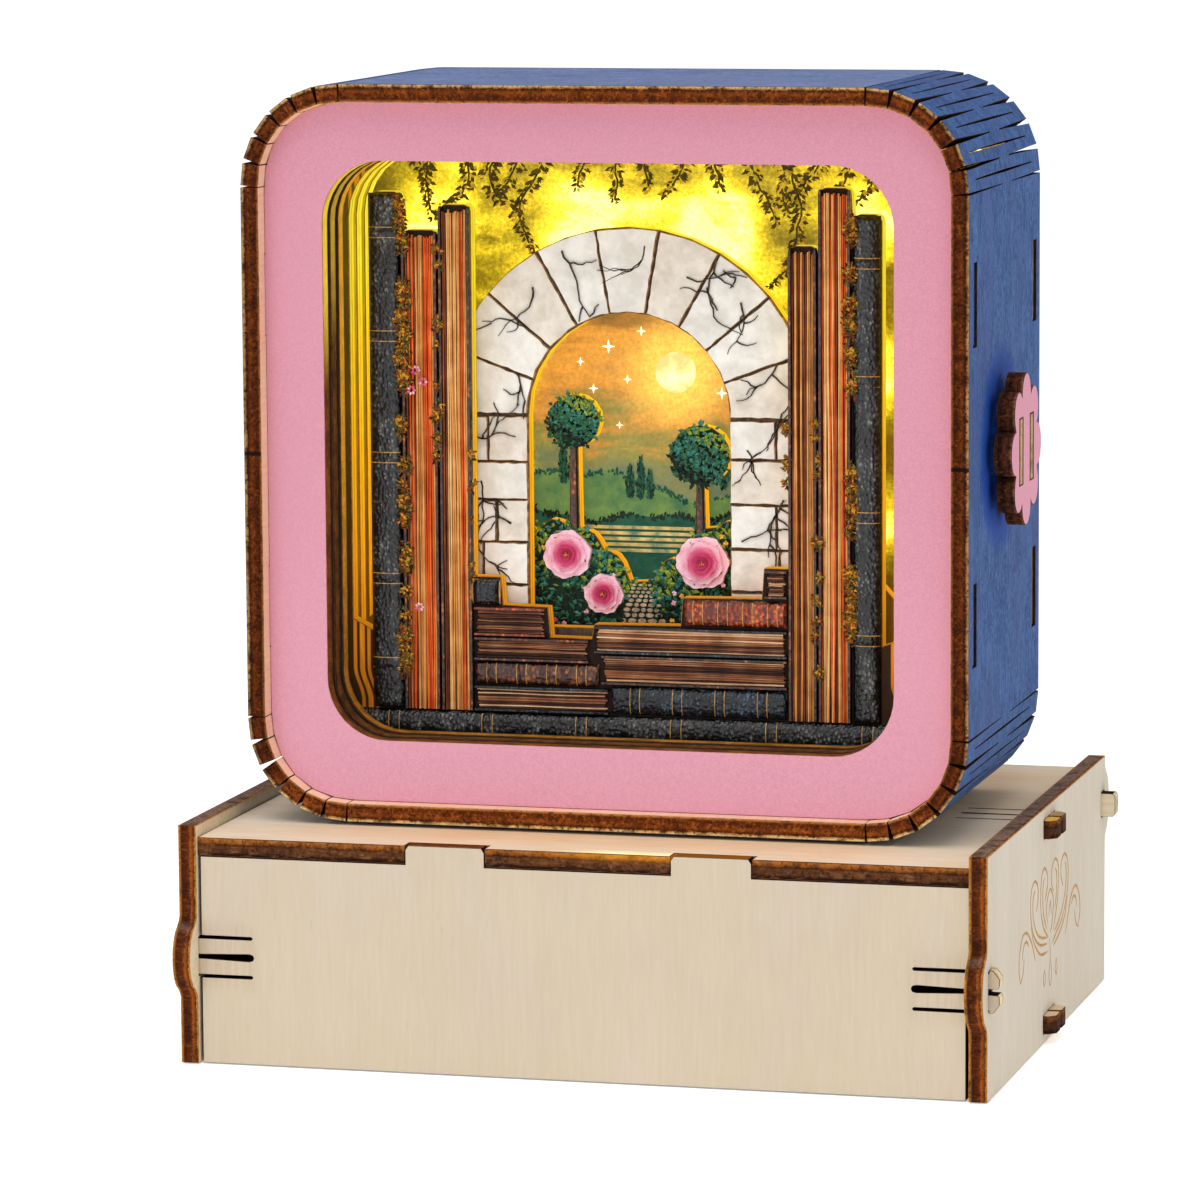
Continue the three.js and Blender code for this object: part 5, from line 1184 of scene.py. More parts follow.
for i in range(1700):
    x = q.uniform(-22, 20)
    top = hedge_top(x) + 0.6
    z = 26 + (top - 26) * q.random() ** 0.75
    path = 1.7 + (37 - z) * 0.32
    if z < 37.5 and abs(x + 0.4) < path:
        continue
    lit = (z - 26) / (top - 26)
    m = q.choice([leaf_c, leaf_b, leaf_c, leaf_a]) if lit > 0.82 else (q.choice([leaf_a, leaf_b, leaf_a, leaf_c]) if lit > 0.5 else q.choice([leaf_a, leaf_d, leaf_b, leaf_a, leaf_d]))
    garden.leaf(x, z, Y3 - q.uniform(0.03, 0.75), q.uniform(0.8, 1.7), q.uniform(0.5, 0.85), q.uniform(0, 6.28), m, 0.3)
for cx, cz, rad, foot, n in ((9.8, 58.4, 5.0, 46.4, 430), (-11.6, 63.6, 4.4, 46.2, 360)):
    garden.prism([(cx - 0.62, foot - 1), (cx + 0.62, foot - 1), (cx + 0.5, cz - rad + 0.6), (cx - 0.5, cz - rad + 0.6)], Y3 + 0.03, Y3 - 0.5, leather_umber, 0.2)
    for i in range(n):
        a, d = q.uniform(0, 6.28), rad * math.sqrt(q.random()) * 1.02
        x, z = cx + d * math.cos(a), cz + d * math.sin(a)
        lit = (z - cz) / rad * 0.6 + (x - cx) / rad * 0.3
        m = q.choice([leaf_c, leaf_c, leaf_b]) if lit > 0.3 else (q.choice([leaf_a, leaf_b, leaf_a]) if lit > -0.25 else q.choice([leaf_d, leaf_a, leaf_d]))
        dome = math.sqrt(max(0, 1 - (d / rad / 1.03) ** 2))
        garden.leaf(x, z, Y3 - 0.1 - 0.9 * dome, q.uniform(0.7, 1.3), q.uniform(0.45, 0.75), q.uniform(0, 6.28), m, 0.22)
# cobbles, larger towards the viewer
z = 37.0
while z > 26.5:
    hgt = 0.55 + (37 - z) * 0.075
    half = 1.6 + (37 - z) * 0.32
    x = -0.4 - half + q.uniform(-0.2, 0.2)
    while x < -0.4 + half:
        w = hgt * q.uniform(1.2, 1.9)
        pts = [(x + w / 2 + w * 0.44 * math.cos(t) * q.uniform(0.9, 1.05), z - hgt / 2 + hgt * 0.42 * math.sin(t) * q.uniform(0.9, 1.05)) for t in [2 * math.pi * i / 9 for i in range(9)]]
        garden.prism(pts, Y3 + 0.03, Y3 - q.uniform(0.18, 0.34), cobble, 0.1)
        x += w
    z -= hgt
# tiny flowers scattered in the hedges
for i in range(34):
    x = q.uniform(-17, 15)
    top = hedge_top(x)
    z = 29 + (top - 30) * q.random()
    if abs(x + 0.4) < 2 + (37 - z) * 0.32 and z < 38:
        continue
    m = q.choice([petal_pale, petal_deep, petal_pale, pollen])
    for k in range(5):
        a = k * 1.2566 + q.random()
        garden.leaf(x, z, Y3 - 0.85, 0.5, 0.42, a, m, 0.14)
garden.done("garden_relief")

# ---- blossoms: cupped petals round a pollen centre -------------------------------------------------------
def petal(name, heart, mid, rim):
    # colour runs from the heart of the flower to the petals' rims, with fine veins
    g = G(name)
    vein = g.noise(g.map((1500, 1500, 1500)), 1, 3, 0.6)
    soft = g.noise(g.map((420, 420, 420)), 1, 3, 0.6)
    v = g.math("ADD", g.attr("ply"), g.math("MULTIPLY", g.math("SUBTRACT", soft, 0.5), 0.3))
    col = g.ramp(v, [(0.06, heart), (0.40, mid), (0.72, rim), (0.95, (rim[0], rim[1] * 1.08, rim[2] * 1.05, 1))])
    col = g.mix(g.ramp(vein, [(0.55, (0, 0, 0, 1)), (0.75, (0.3, 0.3, 0.3, 1))]), col, heart)
    return g.shade(col, 0.55, g.bump(g.math("ADD", vein, soft), 0.35, 0.00012), spec=0.3)


petal_outer = petal("petals_outer", lin(190, 44, 96), lin(238, 130, 168), lin(252, 206, 222))
petal_inner = petal("petals_inner", lin(168, 22, 72), lin(226, 88, 136), lin(248, 172, 198))


def blossom(node, cx, cz, rad, turn, seed):
    s = Sheet()
    q = random.Random(seed)
    front, back = -4.97, -3.02
    rings = ((6, 1.00, -3.62, petal_outer, 0.60), (6, 0.78, -3.98, petal_outer, 0.58), (5, 0.56, -4.28, petal_inner, 0.62), (4, 0.36, -4.50, petal_inner, 0.72), (3, 0.20, -4.66, petal_inner, 0.8))
    for ring, (n, share, y0, m, fat) in enumerate(rings):
        rr = rad * share
        for k in range(n):
            a = turn + k * 2 * math.pi / n + ring * 0.55 + q.uniform(-0.12, 0.12)
            curl = q.uniform(0.7, 1.25)
            rows = []
            R, C = 8, 9
            for i in range(R):
                t = i / (R - 1)
                half = fat * rr * math.sin(math.pi * (0.10 + 0.66 * t)) ** 0.75
                row = []
                for j in range(C):
                    u = -1 + 2 * j / (C - 1)
                    d = t * rr * (1 - 0.20 * u * u * t) + 0.025 * rr * math.cos(7 * u + k) * (t > 0.85)
                    w = u * half
                    x = cx + d * math.cos(a) - w * math.sin(a)
                    z = cz + d * math.sin(a) + w * math.cos(a)
                    y = y0 - 0.10 - 0.34 * curl * t ** 3 - 0.20 * (u * u) * t + 0.22 * math.sin(math.pi * t)
                    row.append((x, max(min(y, back - 0.2), front), z))
                rows.append(row)
            s.grid(rows, back if ring == 0 else min(y0 + 0.32, back), m)
    for k in range(9):
        a, d = q.uniform(0, 6.28), rad * 0.07 * math.sqrt(q.random())
        s.leaf(cx + d * math.cos(a), cz + d * math.sin(a), -4.7, 0.26, 0.22, q.uniform(0, 6.28), pollen, 0.18)
    s.done(node + "_petals", smooth=60, replaces=(node,),
           ply=lambda p: min(1.0, math.hypot(p.x - cx, p.z - ZB - cz) / rad))


blossom("blossom_left", -12.6, 41.6, 4.1, 0.3, 1)
blossom("blossom_middle", -6.4, 35.2, 3.35, 0.9, 2)
blossom("blossom_right", 10.4, 40.8, 4.5, 0.1, 3)

# ---- diffuser: glowing printed sky --------------------------------------------------------------------------
def sky():
    g = G("glowing_sky")
    x, y, z = g.xyz()
    X = g.math("MULTIPLY", x, 1000)
    Z = g.math("SUBTRACT", g.math("MULTIPLY", z, 1000), ZB)
    # soft spots over the 4 x 4 chips
    def cell(v, start):
        f = g.math("FRACT", g.math("DIVIDE", g.math("SUBTRACT", v, start - 12), 24))
        d = g.math("SUBTRACT", f, 0.5)
        return g.math("MULTIPLY", d, d)
    spot = g.math("ADD", cell(X, -36), cell(Z, 24.3))
    spot = g.span(spot, 0.0, 0.16, 0.16, -0.05)
    cloud = g.noise(g.map((46, 46, 74), (0.3, 0.2, 0.7)), 1, 5, 0.6, 0.7)
    wisp = g.noise(g.map((70, 70, 210), (0.9, 0.4, 0.1)), 1, 4, 0.6, 0.5)
    grain = g.noise(g.map((1500, 1500, 1500)), 1, 3, 0.7)
    fine = g.noise(g.map((400, 400, 520)), 1, 4, 0.6)
    # printed part inside the arch
    e = g.math("ADD", g.math("POWER", g.math("ABSOLUTE", g.math("DIVIDE", g.math("ADD", X, 1), 20)), 2),
               g.math("POWER", g.math("ABSOLUTE", g.math("DIVIDE", g.math("SUBTRACT", Z, 62), 25)), 2))
    inside = g.span(e, 0.75, 1.25, 1, 0)
    h = g.math("ADD", g.span(Z, 40, 86, 0, 1, "LINEAR"), g.math("MULTIPLY", g.math("SUBTRACT", wisp, 0.5), 0.85))
    pic = g.ramp(h, [(0.05, (0.006, 0.045, 0.040, 1)), (0.24, (0.020, 0.10, 0.07, 1)), (0.42, (0.12, 0.15, 0.04, 1)), (0.58, (0.46, 0.19, 0.035, 1)), (0.74, (0.62, 0.24, 0.03, 1)), (0.9, (0.26, 0.10, 0.018, 1)), (1.0, (0.10, 0.05, 0.014, 1))])
    # halo round the moon
    d = g.math("SQRT", g.math("ADD", g.math("POWER", g.math("ABSOLUTE", g.math("SUBTRACT", X, MOON[0])), 2), g.math("POWER", g.math("ABSOLUTE", g.math("SUBTRACT", Z, MOON[1])), 2)))
    halo = g.span(g.math("ADD", d, g.math("MULTIPLY", g.math("SUBTRACT", cloud, 0.5), 5)), 3.2, 11.5, 1, 0)
    pic = g.mix(g.math("MULTIPLY", halo, 0.85), pic, (1.15, 0.62, 0.09, 1))
    # outside it: dark gold haze that breaks open to hot light, always open along the two sides
    v = g.math("ADD", g.math("MULTIPLY", cloud, 0.62), g.math("MULTIPLY", wisp, 0.38))
    v = g.math("ADD", v, spot)
    v = g.math("ADD", v, g.span(Z, 20, 104, -0.06, 0.03, "LINEAR"))
    v = g.math("ADD", v, g.math("MULTIPLY", g.math("SUBTRACT", grain, 0.5), 0.16))
    v = g.math("ADD", v, g.span(X, 41.2, 43.6, 0, 0.4))
    v = g.math("SUBTRACT", v, g.span(X, -45.5, -39.5, 0.10, 0))
    v = g.math("ADD", v, g.span(g.math("SUBTRACT", e, 1.9), 0.0, 0.9, 0.12, 0.0))
    open_ = g.ramp(v, [(0.34, (0.055, 0.048, 0.003, 1)), (0.42, (0.17, 0.14, 0.005, 1)), (0.49, (0.46, 0.35, 0.010, 1)), (0.55, (0.80, 0.58, 0.016, 1)), (0.63, (1.0, 0.74, 0.035, 1)), (0.74, (1.0, 0.88, 0.20, 1))])
    hot = g.span(v, 0.56, 0.80, 0.95, 2.0)
    open_ = g.mix(1.0, open_, hot, "MULTIPLY")
    open_ = g.mix(1.0, open_, g.span(Z, 14, 60, 0.30, 1.0, "LINEAR"), "MULTIPLY")
    col = g.mix(inside, open_, pic)
    col = g.mix(1.0, col, g.span(grain, 0.3, 0.7, 0.72, 1.22, "LINEAR"), "MULTIPLY")
    col = g.mix(1.0, col, g.span(fine, 0.3, 0.7, 0.86, 1.12, "LINEAR"), "MULTIPLY")
    return g.shade(lin(120, 96, 40), 0.6, g.bump(fine, 0.1, 0.0001), spec=0.2, emit=col, power=1.28)


MOON = (4.6, 71.5)
frame["nodes"]["diffuser"].material_slots[0].material = sky()

mg = G("moon_disc")
maria = mg.noise(mg.map((260, 260, 260), (0.31, 0.2, 0.12)), 1, 4, 0.55)
moon_mat = mg.shade(lin(240, 214, 150), 0.6, mg.bump(maria, 0.3, 0.0001), spec=0.1,
                    emit=mg.ramp(maria, [(0.42, (0.42, 0.22, 0.04, 1)), (0.52, (0.80, 0.52, 0.16, 1)), (0.62, (0.98, 0.80, 0.42, 1))]), power=0.9)
star_mat = plain("star_points", lin(255, 240, 190), lin(255, 250, 220), 500, 0.6, 0.2, emit=((1.0, 0.92, 0.5, 1), (1.0, 0.96, 0.7, 1)), power=2.0)
hill_far = plain("far_hill", lin(40, 70, 46), lin(70, 96, 50), 300, 0.8, 0.1, emit=((0.05, 0.12, 0.05, 1), (0.14, 0.2, 0.05, 1)), power=1.0)
hill_near = plain("near_hill", lin(14, 44, 34), lin(30, 66, 44), 300, 0.8, 0.1, emit=((0.006, 0.04, 0.03, 1), (0.02, 0.07, 0.04, 1)), power=1.0)
skyline = Sheet()
YD = 1.6
skyline.prism([(MOON[0] + 3.4 * math.cos(t), MOON[1] + 3.4 * math.sin(t)) for t in [2 * math.pi * i / 48 for i in range(48)]], YD + 0.02, YD - 0.10, moon_mat, 0.04)
for cx, cz, rad in ((-1.2, 78.2, 0.8), (-6.8, 75.6, 1.1), (10.4, 77.6, 0.9), (-3.6, 70.2, 0.7), (12.4, 68.2, 1.0), (-9.4, 68.6, 0.8), (7.4, 80.0, 0.6), (-11.6, 73.0, 0.7), (-5.0, 62.6, 0.6)):
    pts = []
    for i in range(8):
        a = math.pi * i / 4 + math.pi / 2
        d = rad if i % 2 == 0 else rad * 0.24
        pts.append((cx + d * math.cos(a), cz + d * math.sin(a)))
    skyline.prism(pts, YD + 0.02, YD - 0.12, star_mat)


def ridge(seed, base, amp, n=40):
    q = random.Random(seed)
    ph = [q.uniform(0, 6) for _ in range(3)]
    return [(-24 + 46 * i / n, base + amp * (math.sin(ph[0] + 4.2 * i / n) + 0.4 * math.sin(ph[1] + 11 * i / n) + 0.18 * math.sin(ph[2] + 31 * i / n))) for i in range(n + 1)]


for seed, base, amp, m, f in ((3, 53.5, 2.4, hill_far, 0.06), (9, 49.0, 2.0, hill_near, 0.14)):
    top = ridge(seed, base, amp)
    skyline.prism([(22, 30), *top[::-1], (-24, 30)], YD + 0.02, YD - f, m)
# tree lines on the ridges, and still water between the hedges
q = random.Random(41)
water = plain("still_water", lin(60, 80, 60), lin(160, 140, 80), 500, 0.3, 0.5, emit=((0.05, 0.10, 0.05, 1), (0.50, 0.30, 0.06, 1)), power=1.0)
for i in range(5):
    z0 = 41.6 + i * 0.95
    w0, w1 = 7.5 + i * 1.1, 7.0 + i * 1.1
    skyline.prism([(-1 - w0, z0), (-1 + w0, z0), (-1 + w1, z0 + 0.55), (-1 - w1, z0 + 0.55)], YD + 0.02, YD - 0.2, water)
for seed, base, amp, m, f, n in ((3, 53.5, 2.4, hill_near, 0.10, 210), (9, 49.0, 2.0, leaf_d, 0.2, 240)):
    top = ridge(seed, base, amp)
    for _ in range(n):
        k = q.randrange(len(top) - 1)
        t = q.random()
        x = top[k][0] * (1 - t) + top[k + 1][0] * t
        z = top[k][1] * (1 - t) + top[k + 1][1] * t - q.uniform(0.0, 0.9)
        skyline.leaf(x, z, YD - f, q.uniform(0.5, 1.1), q.uniform(0.35, 0.6), q.uniform(0.6, 2.5), m, 0.1)
# slim cypresses on the far ridge
for tx, tz, th in ((-14.6, 53.2, 7.6), (-13.0, 53.0, 5.4), (-3.2, 51.0, 5.2), (-1.4, 50.8, 6.8), (0.2, 50.9, 4.4), (12.8, 52.6, 6.0), (14.6, 53.0, 8.0)):
    for _ in range(int(th * 26)):
        t = q.random()
        w = 0.75 * math.sin(math.pi * min(1, 0.12 + 0.88 * t)) ** 0.8 * (1.1 - 0.5 * t)
        skyline.leaf(tx + q.uniform(-w, w), tz - 0.6 + t * th, YD - q.uniform(0.16, 0.4), q.uniform(0.6, 1.1), q.uniform(0.3, 0.5), q.uniform(1.2, 1.95), q.choice([hill_near, leaf_d, hill_near]), 0.12)
# vines that trail from the top edge, dark against the light
vine_dark = plain("vine_shadow", lin(30, 26, 8), lin(70, 58, 16), 900, 0.7, 0.2, emit=((0.012, 0.008, 0.001, 1), (0.06, 0.035, 0.004, 1)), power=1.0)
vine_lit = plain("vine_lit", lin(110, 96, 20), lin(170, 140, 40), 900, 0.7, 0.2, emit=((0.16, 0.10, 0.008, 1), (0.45, 0.28, 0.02, 1)), power=1.0)
for k, (vx, length) in enumerate(((-41, 10), (-36.5, 6), (-30.5, 13), (-25, 22), (-21.0, 9), (-16.5, 13), (-11, 6), (-5.5, 8.5), (0.5, 5), (6.0, 8), (11.5, 5.5), (16.6, 12), (21.5, 8), (24.6, 21), (30.5, 12), (35.5, 6), (40.6, 9))):
    path = walk(vx, 109, -math.pi / 2, 1.0, int(length) + 2, 0.35, 600 + k)
    skyline.ribbon(path, 0.32, YD + 0.02, YD - 0.22, vine_dark)
    for i, (x, z) in enumerate(path):
        for _ in range(7):
            far = i / len(path)
            side = q.choice([-1, 1])
            skyline.leaf(x + side * q.uniform(0, 1.1 * (1.1 - far)), z + q.uniform(-0.5, 0.5), YD - q.uniform(0.18, 0.5), q.uniform(0.8, 1.7) * (1.15 - 0.45 * far), q.uniform(0.45, 0.8) * (1.15 - 0.4 * far),
                         -math.pi / 2 + side * q.uniform(0.3, 1.5), q.choice([vine_dark, vine_dark, vine_lit]), 0.16)
skyline.done("skyline_relief")

# ---- traditional scroll engraved in the right side plate ----------------------------------------------------
engrave = scorch("engraved_line", lin(158, 118, 66), lin(188, 146, 92))
orn = bmesh.new()


def smooth_path(pts, sub=8):
    P = [pts[0]] + list(pts) + [pts[-1]]
    out = []
    for i in range(1, len(P) - 2):
        p0, p1, p2, p3 = P[i - 1], P[i], P[i + 1], P[i + 2]
        for k in range(sub):
            t = k / sub
            out.append(tuple(0.5 * (2 * p1[c] + (p2[c] - p0[c]) * t + (2 * p0[c] - 5 * p1[c] + 4 * p2[c] - p3[c]) * t * t + (3 * p1[c] - p0[c] - 3 * p2[c] + p3[c]) * t ** 3) for c in (0, 1)))
    out.append(tuple(P[-2]))
    return out


def groove(pts, w=0.46, x0=66.47, x1=66.52):
    pts = smooth_path([(1.0284 * y - 0.0162 * z - 2.7377, 0.0022 * y + 1.0027 * z + 0.0538) for y, z in pts])
    n = len(pts)
    rows = []
    for i, (y, z) in enumerate(pts):
        a, b = pts[max(i - 1, 0)], pts[min(i + 1, n - 1)]
        dy, dz = b[0] - a[0], b[1] - a[1]
        L = math.hypot(dy, dz) or 1
        h = w / 2 * min(1, 0.35 + min(i, n - 1 - i) * 0.14)
        ny, nz = -dz / L * h, dy / L * h
        rows.append([orn.verts.new((x1, y + ny, z + nz)), orn.verts.new((x1, y - ny, z - nz)), orn.verts.new((x0, y - ny, z - nz)), orn.verts.new((x0, y + ny, z + nz))])
    for a, b in zip(rows, rows[1:]):
        for k in range(4):
            orn.faces.new((a[k], a[(k + 1) % 4], b[(k + 1) % 4], b[k]))
    orn.faces.new(rows[0])
    orn.faces.new(rows[-1][::-1])


CY = 4.0
# left and right scrolls, each drawn with two lines
groove([(-20.6, 13.6), (-21.8, 16.0), (-21.2, 18.8), (-18.8, 21.0), (-15.6, 21.0), (-12.6, 19.4), (-10.2, 17.2), (-8.6, 15.0)])
groove([(-20.6, 13.6), (-18.6, 15.0), (-17.6, 17.2)])
groove([(-19.2, 17.2), (-18.0, 19.2), (-15.8, 19.6), (-13.8, 18.4)])
groove([(28.0, 13.6), (29.8, 16.2), (29.0, 19.0), (26.4, 21.0), (23.6, 20.9), (21.2, 19.4), (19.0, 17.0), (17.0, 14.6)])
groove([(28.0, 13.6), (26.0, 15.0), (25.0, 17.2)])
groove([(27.0, 17.4), (25.8, 19.2), (23.8, 19.6), (22.2, 18.6)])
# stems with curled tops
groove([(-7.8, 23.0), (-6.3, 24.8), (-6.5, 27.0), (-8.9, 28.2), (-11.4, 27.4), (-12.4, 25.0), (-11.8, 22.0), (-9.2, 19.0), (-4.6, 16.9), (1.2, 16.0)])
groove([(-8.6, 26.6), (-9.9, 26.0), (-10.6, 24.4), (-9.8, 21.8), (-7.0, 19.2), (-3.2, 17.8), (1.4, 17.0)])
groove([(-11.9, 21.4), (-10.3, 18.8), (-6.7, 16.3), (-3.2, 15.0), (1.6, 14.6)])
groove([(-0.6, 23.4), (1.4, 25.2), (1.7, 27.2), (-0.7, 28.9), (-3.2, 27.9), (-4.0, 25.0), (-3.6, 21.9), (-1.4, 19.0), (2.4, 16.8)])
groove([(-0.8, 27.4), (-2.0, 26.2), (-2.3, 24.0), (-1.4, 21.0), (1.2, 18.4)])
groove([(1.6, 19.4), (0.8, 22.2), (3.8, 24.6), (6.6, 22.4), (5.8, 19.2), (4.0, 17.2)])
groove([(2.9, 20.2), (3.9, 22.6), (5.0, 20.2)])
groove([(6.9, 23.7), (5.0, 25.4), (5.4, 27.6), (8.0, 28.9), (10.6, 27.6), (11.0, 24.8), (9.8, 21.2), (6.6, 17.4)])
groove([(8.2, 27.3), (9.4, 26.2), (9.4, 23.6), (8.0, 20.6)])
groove([(14.8, 23.1), (13.2, 25.0), (13.4, 27.2), (16.0, 28.3), (18.6, 27.0), (19.4, 24.4), (18.2, 21.0), (14.0, 17.8), (8.6, 16.2), (5.6, 15.2)])
groove([(16.4, 26.8), (17.6, 25.6), (17.6, 23.6), (15.8, 20.8), (11.8, 18.2), (7.4, 16.9)])
groove([(18.6, 20.8), (16.6, 18.0), (12.0, 15.8), (6.6, 14.6)])
groove([(3.4, 16.4), (3.9, 14.6), (4.1, 12.6)], 0.32)
# drops
for cy, top, bot, wd in ((4.0, 13.0, 8.4, 1.3), (-1.0, 12.1, 9.2, 1.0), (9.0, 12.1, 9.2, 1.0)):
    m = (top + bot) / 2 - 0.4
    groove([(cy, top), (cy - wd * 0.8, m + 0.6), (cy - wd * 0.7, bot + 0.9), (cy, bot)], 0.34)
    groove([(cy, top), (cy + wd * 0.8, m + 0.6), (cy + wd * 0.7, bot + 0.9), (cy, bot)], 0.34)
bmesh.ops.recalc_face_normals(orn, faces=orn.faces)
finish_mesh(orn, "engraved_scroll", [engrave], "lamp", base=True)


# =============================================================================================
# inner parts that stay as built: finishes only
# =============================================================================================
def metal(name, a, b, rough, thread=None):
    g = G(name)
    f = g.noise(g.map((900, 900, 900)), 1, 4, 0.6)
    br = g.noise(g.map((300, 300, 4200)), 1, 2, 0.5)
    col = g.ramp(g.math("ADD", g.math("MULTIPLY", f, 0.6), g.math("MULTIPLY", br, 0.4)), [(0.36, a), (0.64, b)])
    h = br
    if thread:
        k = g.n("ShaderNodeTexWave")
        k.bands_direction = thread
        g.put(k.inputs["Vector"], g.coord)
        k.inputs["Scale"].default_value = 1000.0 / 0.75 / 6.283 * 2
        h = g.math("ADD", k.outputs["Fac"], g.math("MULTIPLY", br, 0.2))
    return g.shade(col, rough, g.bump(h, 0.6 if thread else 0.15, 0.0002 if thread else 0.00005), spec=0.5, metal=1.0,
                   rough_sock=g.span(f, 0.3, 0.7, rough - 0.08, rough + 0.12, "LINEAR"))


zinc = metal("zinc_steel_finish", lin(150, 153, 158), lin(196, 198, 200), 0.34)
spring = metal("spring_steel_finish", lin(168, 168, 166), lin(216, 214, 208), 0.26)
brass_m = metal("brass_threaded", lin(176, 136, 66), lin(222, 186, 108), 0.3, "Z")
nylon = plain("white_nylon_finish", lin(226, 226, 220), lin(242, 242, 238), 500, 0.42, 0.45, bump=0.1)
black_pl = plain("black_plastic_finish", lin(20, 20, 21), lin(34, 34, 36), 1800, 0.5, 0.4, bump=0.25)


def solder_board():
    g = G("white_solder_mask")
    x, y, z = g.xyz()
    line = g.math("ABSOLUTE", g.math("SUBTRACT", g.math("FRACT", g.math("MULTIPLY", z, 1000 / 24.0)), 0.31))
    tr = g.span(line, 0.012, 0.02, 1, 0)
    f = g.noise(g.map((800, 800, 800)), 1, 3, 0.6)
    col = g.mix(g.math("MULTIPLY", tr, 0.5), g.ramp(f, [(0.35, lin(228, 229, 226)), (0.65, lin(244, 245, 242))]), lin(196, 190, 170))
    chip = g.span(y, 0.00132, 0.00138, 1, 0)
    col = g.mix(chip, col, lin(246, 214, 120))
    return g.shade(col, 0.38, g.bump(g.math("ADD", tr, g.math("MULTIPLY", f, 0.2)), 0.2, 0.00005), spec=0.5)


def sleeve():
    g = G("cell_sleeve_green")
    f = g.noise(g.map((600, 600, 600)), 1, 3, 0.6)
    x, y, z = g.xyz()
    ring = g.span(g.math("ABSOLUTE", g.math("SUBTRACT", g.math("ABSOLUTE", x), 0.0165)), 0.0011, 0.0013, 1, 0)
    col = g.mix(ring, g.ramp(f, [(0.35, lin(58, 118, 84)), (0.65, lin(76, 142, 100))]), lin(206, 206, 196))
    end = g.span(g.math("ABSOLUTE", x), 0.0247, 0.0249, 0, 1)
    col = g.mix(end, col, lin(196, 196, 192))
    return g.shade(col, 0.32, g.bump(f, 0.1, 0.00005), spec=0.5)


def lead(name, a, b):
    return plain(name, a, b, 1500, 0.45, 0.45, bump=0.15)


finish = {
    "led_board": solder_board(), "battery_holder": black_pl, "dimmer_body": black_pl,
    "joining_tube": brass_m, "joining_nut_lower": brass_m, "joining_nut_upper": brass_m,
    "spacer_washer": zinc, "dimmer_nut": zinc, "dimmer_shaft": zinc, "holder_screw_left": zinc, "holder_screw_right": zinc,
    "battery_lead_red": lead("lead_red_pvc", lin(160, 26, 22), lin(192, 44, 36)), "led_lead": lead("led_lead_pvc", lin(160, 26, 22), lin(192, 44, 36)),
    "battery_lead_black": lead("lead_black_pvc", lin(22, 22, 24), lin(38, 38, 40)),
    "dimmer_bracket": bare_ply("bracket_wood", "z", lin(196, 174, 134), lin(218, 200, 164), lin(230, 214, 184), 17),
}
green = sleeve()
for i in (1, 2, 3):
    finish[f"battery_cell_{i}"] = green
for n in ("contact_bridge_left", "contact_bridge_right", "contact_positive", "contact_negative"):
    finish[n] = spring
for i in (1, 2, 3, 4):
    finish[f"led_board_post_{i}"] = nylon
for n in ("rail_bottom_left", "rail_bottom_right", "rail_top_left", "rail_top_right"):
    finish[n] = ply_inside
for n, m in finish.items():
    for s in frame["nodes"][n].material_slots:
        s.material = m

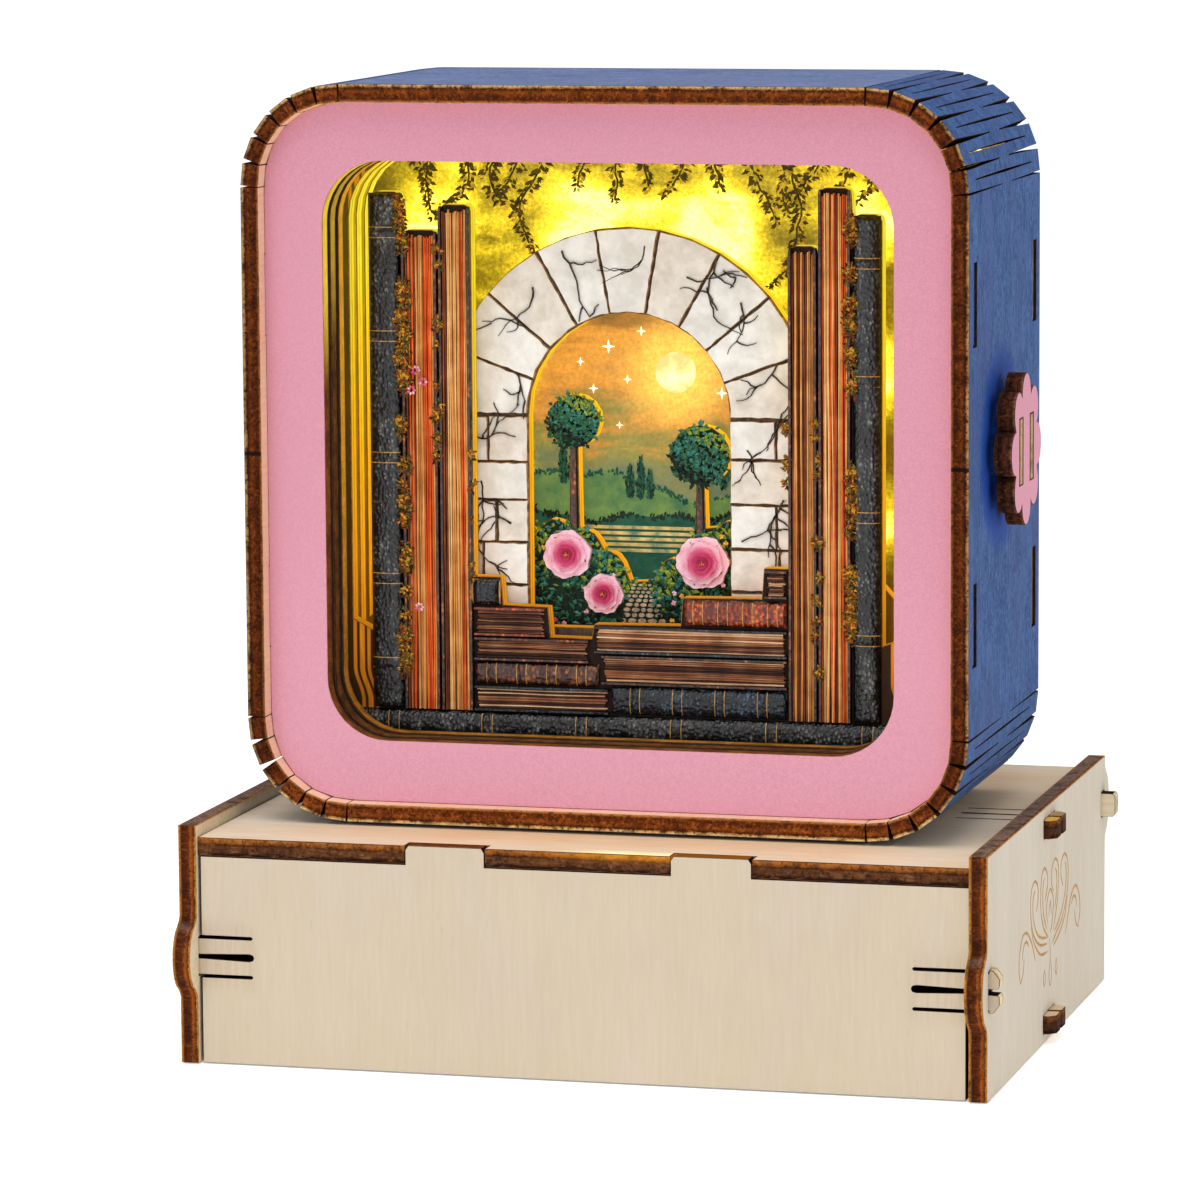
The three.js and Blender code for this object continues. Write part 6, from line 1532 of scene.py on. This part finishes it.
# =============================================================================================
# floor, light, camera
# =============================================================================================
fm = G("pale_floor")
ff = fm.noise(fm.map((14, 14, 14)), 1, 3, 0.5)
fx, fy, fz = fm.xyz()
far = fm.span(fm.math("SQRT", fm.math("ADD", fm.math("MULTIPLY", fx, fx), fm.math("MULTIPLY", fy, fy))), 0.9, 2.2, 0.40, 0.58)
floor_mat = fm.shade(fm.ramp(ff, [(0.3, lin(250, 250, 250)), (0.7, lin(253, 253, 253))]), 0.9, spec=0.1,
                     emit=fm.mix(1.0, fm.ramp(ff, [(0.3, (0.98, 0.98, 0.98, 1)), (0.7, (1, 1, 1, 1))]), far, "MULTIPLY"), power=1.0)
bm = bmesh.new()
rings = []
for rad in (0.0, 0.6, 1.5, 4.0, 16.0):
    rings.append([bm.verts.new((rad * math.cos(2 * math.pi * i / 32), rad * math.sin(2 * math.pi * i / 32), -0.0002)) for i in range(32)] if rad else [bm.verts.new((0, 0, -0.0002))])
for a, b in zip(rings, rings[1:]):
    for i in range(32):
        j = (i + 1) % 32
        bm.faces.new((a[0], b[i], b[j]) if len(a) == 1 else (a[i], b[i], b[j], a[j]))
me = bpy.data.meshes.new("floor")
bm.to_mesh(me)
bm.free()
me.materials.append(floor_mat)
floor = bpy.data.objects.new("floor", me)
bpy.context.scene.collection.objects.link(floor)

world = bpy.data.worlds.new("studio")
world.use_nodes = True
world.node_tree.nodes["Background"].inputs["Color"].default_value = (1.0, 1.0, 1.0, 1)
world.node_tree.nodes["Background"].inputs["Strength"].default_value = 0.52
bpy.context.scene.world = world


def area(name, loc, target, size, power, color=(1, 1, 1)):
    d = bpy.data.lights.new(name, "AREA")
    d.shape = "RECTANGLE"
    d.size, d.size_y = size
    d.energy = power
    d.color = color
    o = bpy.data.objects.new(name, d)
    o.location = loc
    o.rotation_euler = (Vector(target) - Vector(loc)).to_track_quat("-Z", "Y").to_euler()
    bpy.context.scene.collection.objects.link(o)
    return o


area("key", (-0.45, -1.15, 0.50), (0, 0, 0.06), (1.0, 1.0), 2.4)
area("side", (1.0, 0.15, 0.4), (0, 0, 0.08), (0.8, 0.8), 1.6)
area("top", (0.0, -0.38, 1.15), (0, 0, 0.1), (1.0, 1.0), 7.8)

cam = bpy.data.cameras.new("photo_camera")
cam.sensor_fit = "HORIZONTAL"
cam.sensor_width = 36.0
cam.lens = 180.6738313
cam.clip_start = 0.02
cam.clip_end = 50
eye = bpy.data.objects.new("photo_camera", cam)
R = Vector((0.96561752, 0.25988072, -0.0066937))
U = Vector((-0.02841629, 0.13110806, 0.99096074))
F = Vector((-0.25840919, 0.95669885, -0.13398509))
M = Matrix((R, U, -F)).transposed().to_4x4()
M.translation = Vector((0.24926171, -0.95788679, 0.20467444))
eye.matrix_world = M
bpy.context.scene.collection.objects.link(eye)
bpy.context.scene.camera = eye
bpy.context.scene.view_settings.view_transform = "Standard"
bpy.context.scene.view_settings.look = "None"
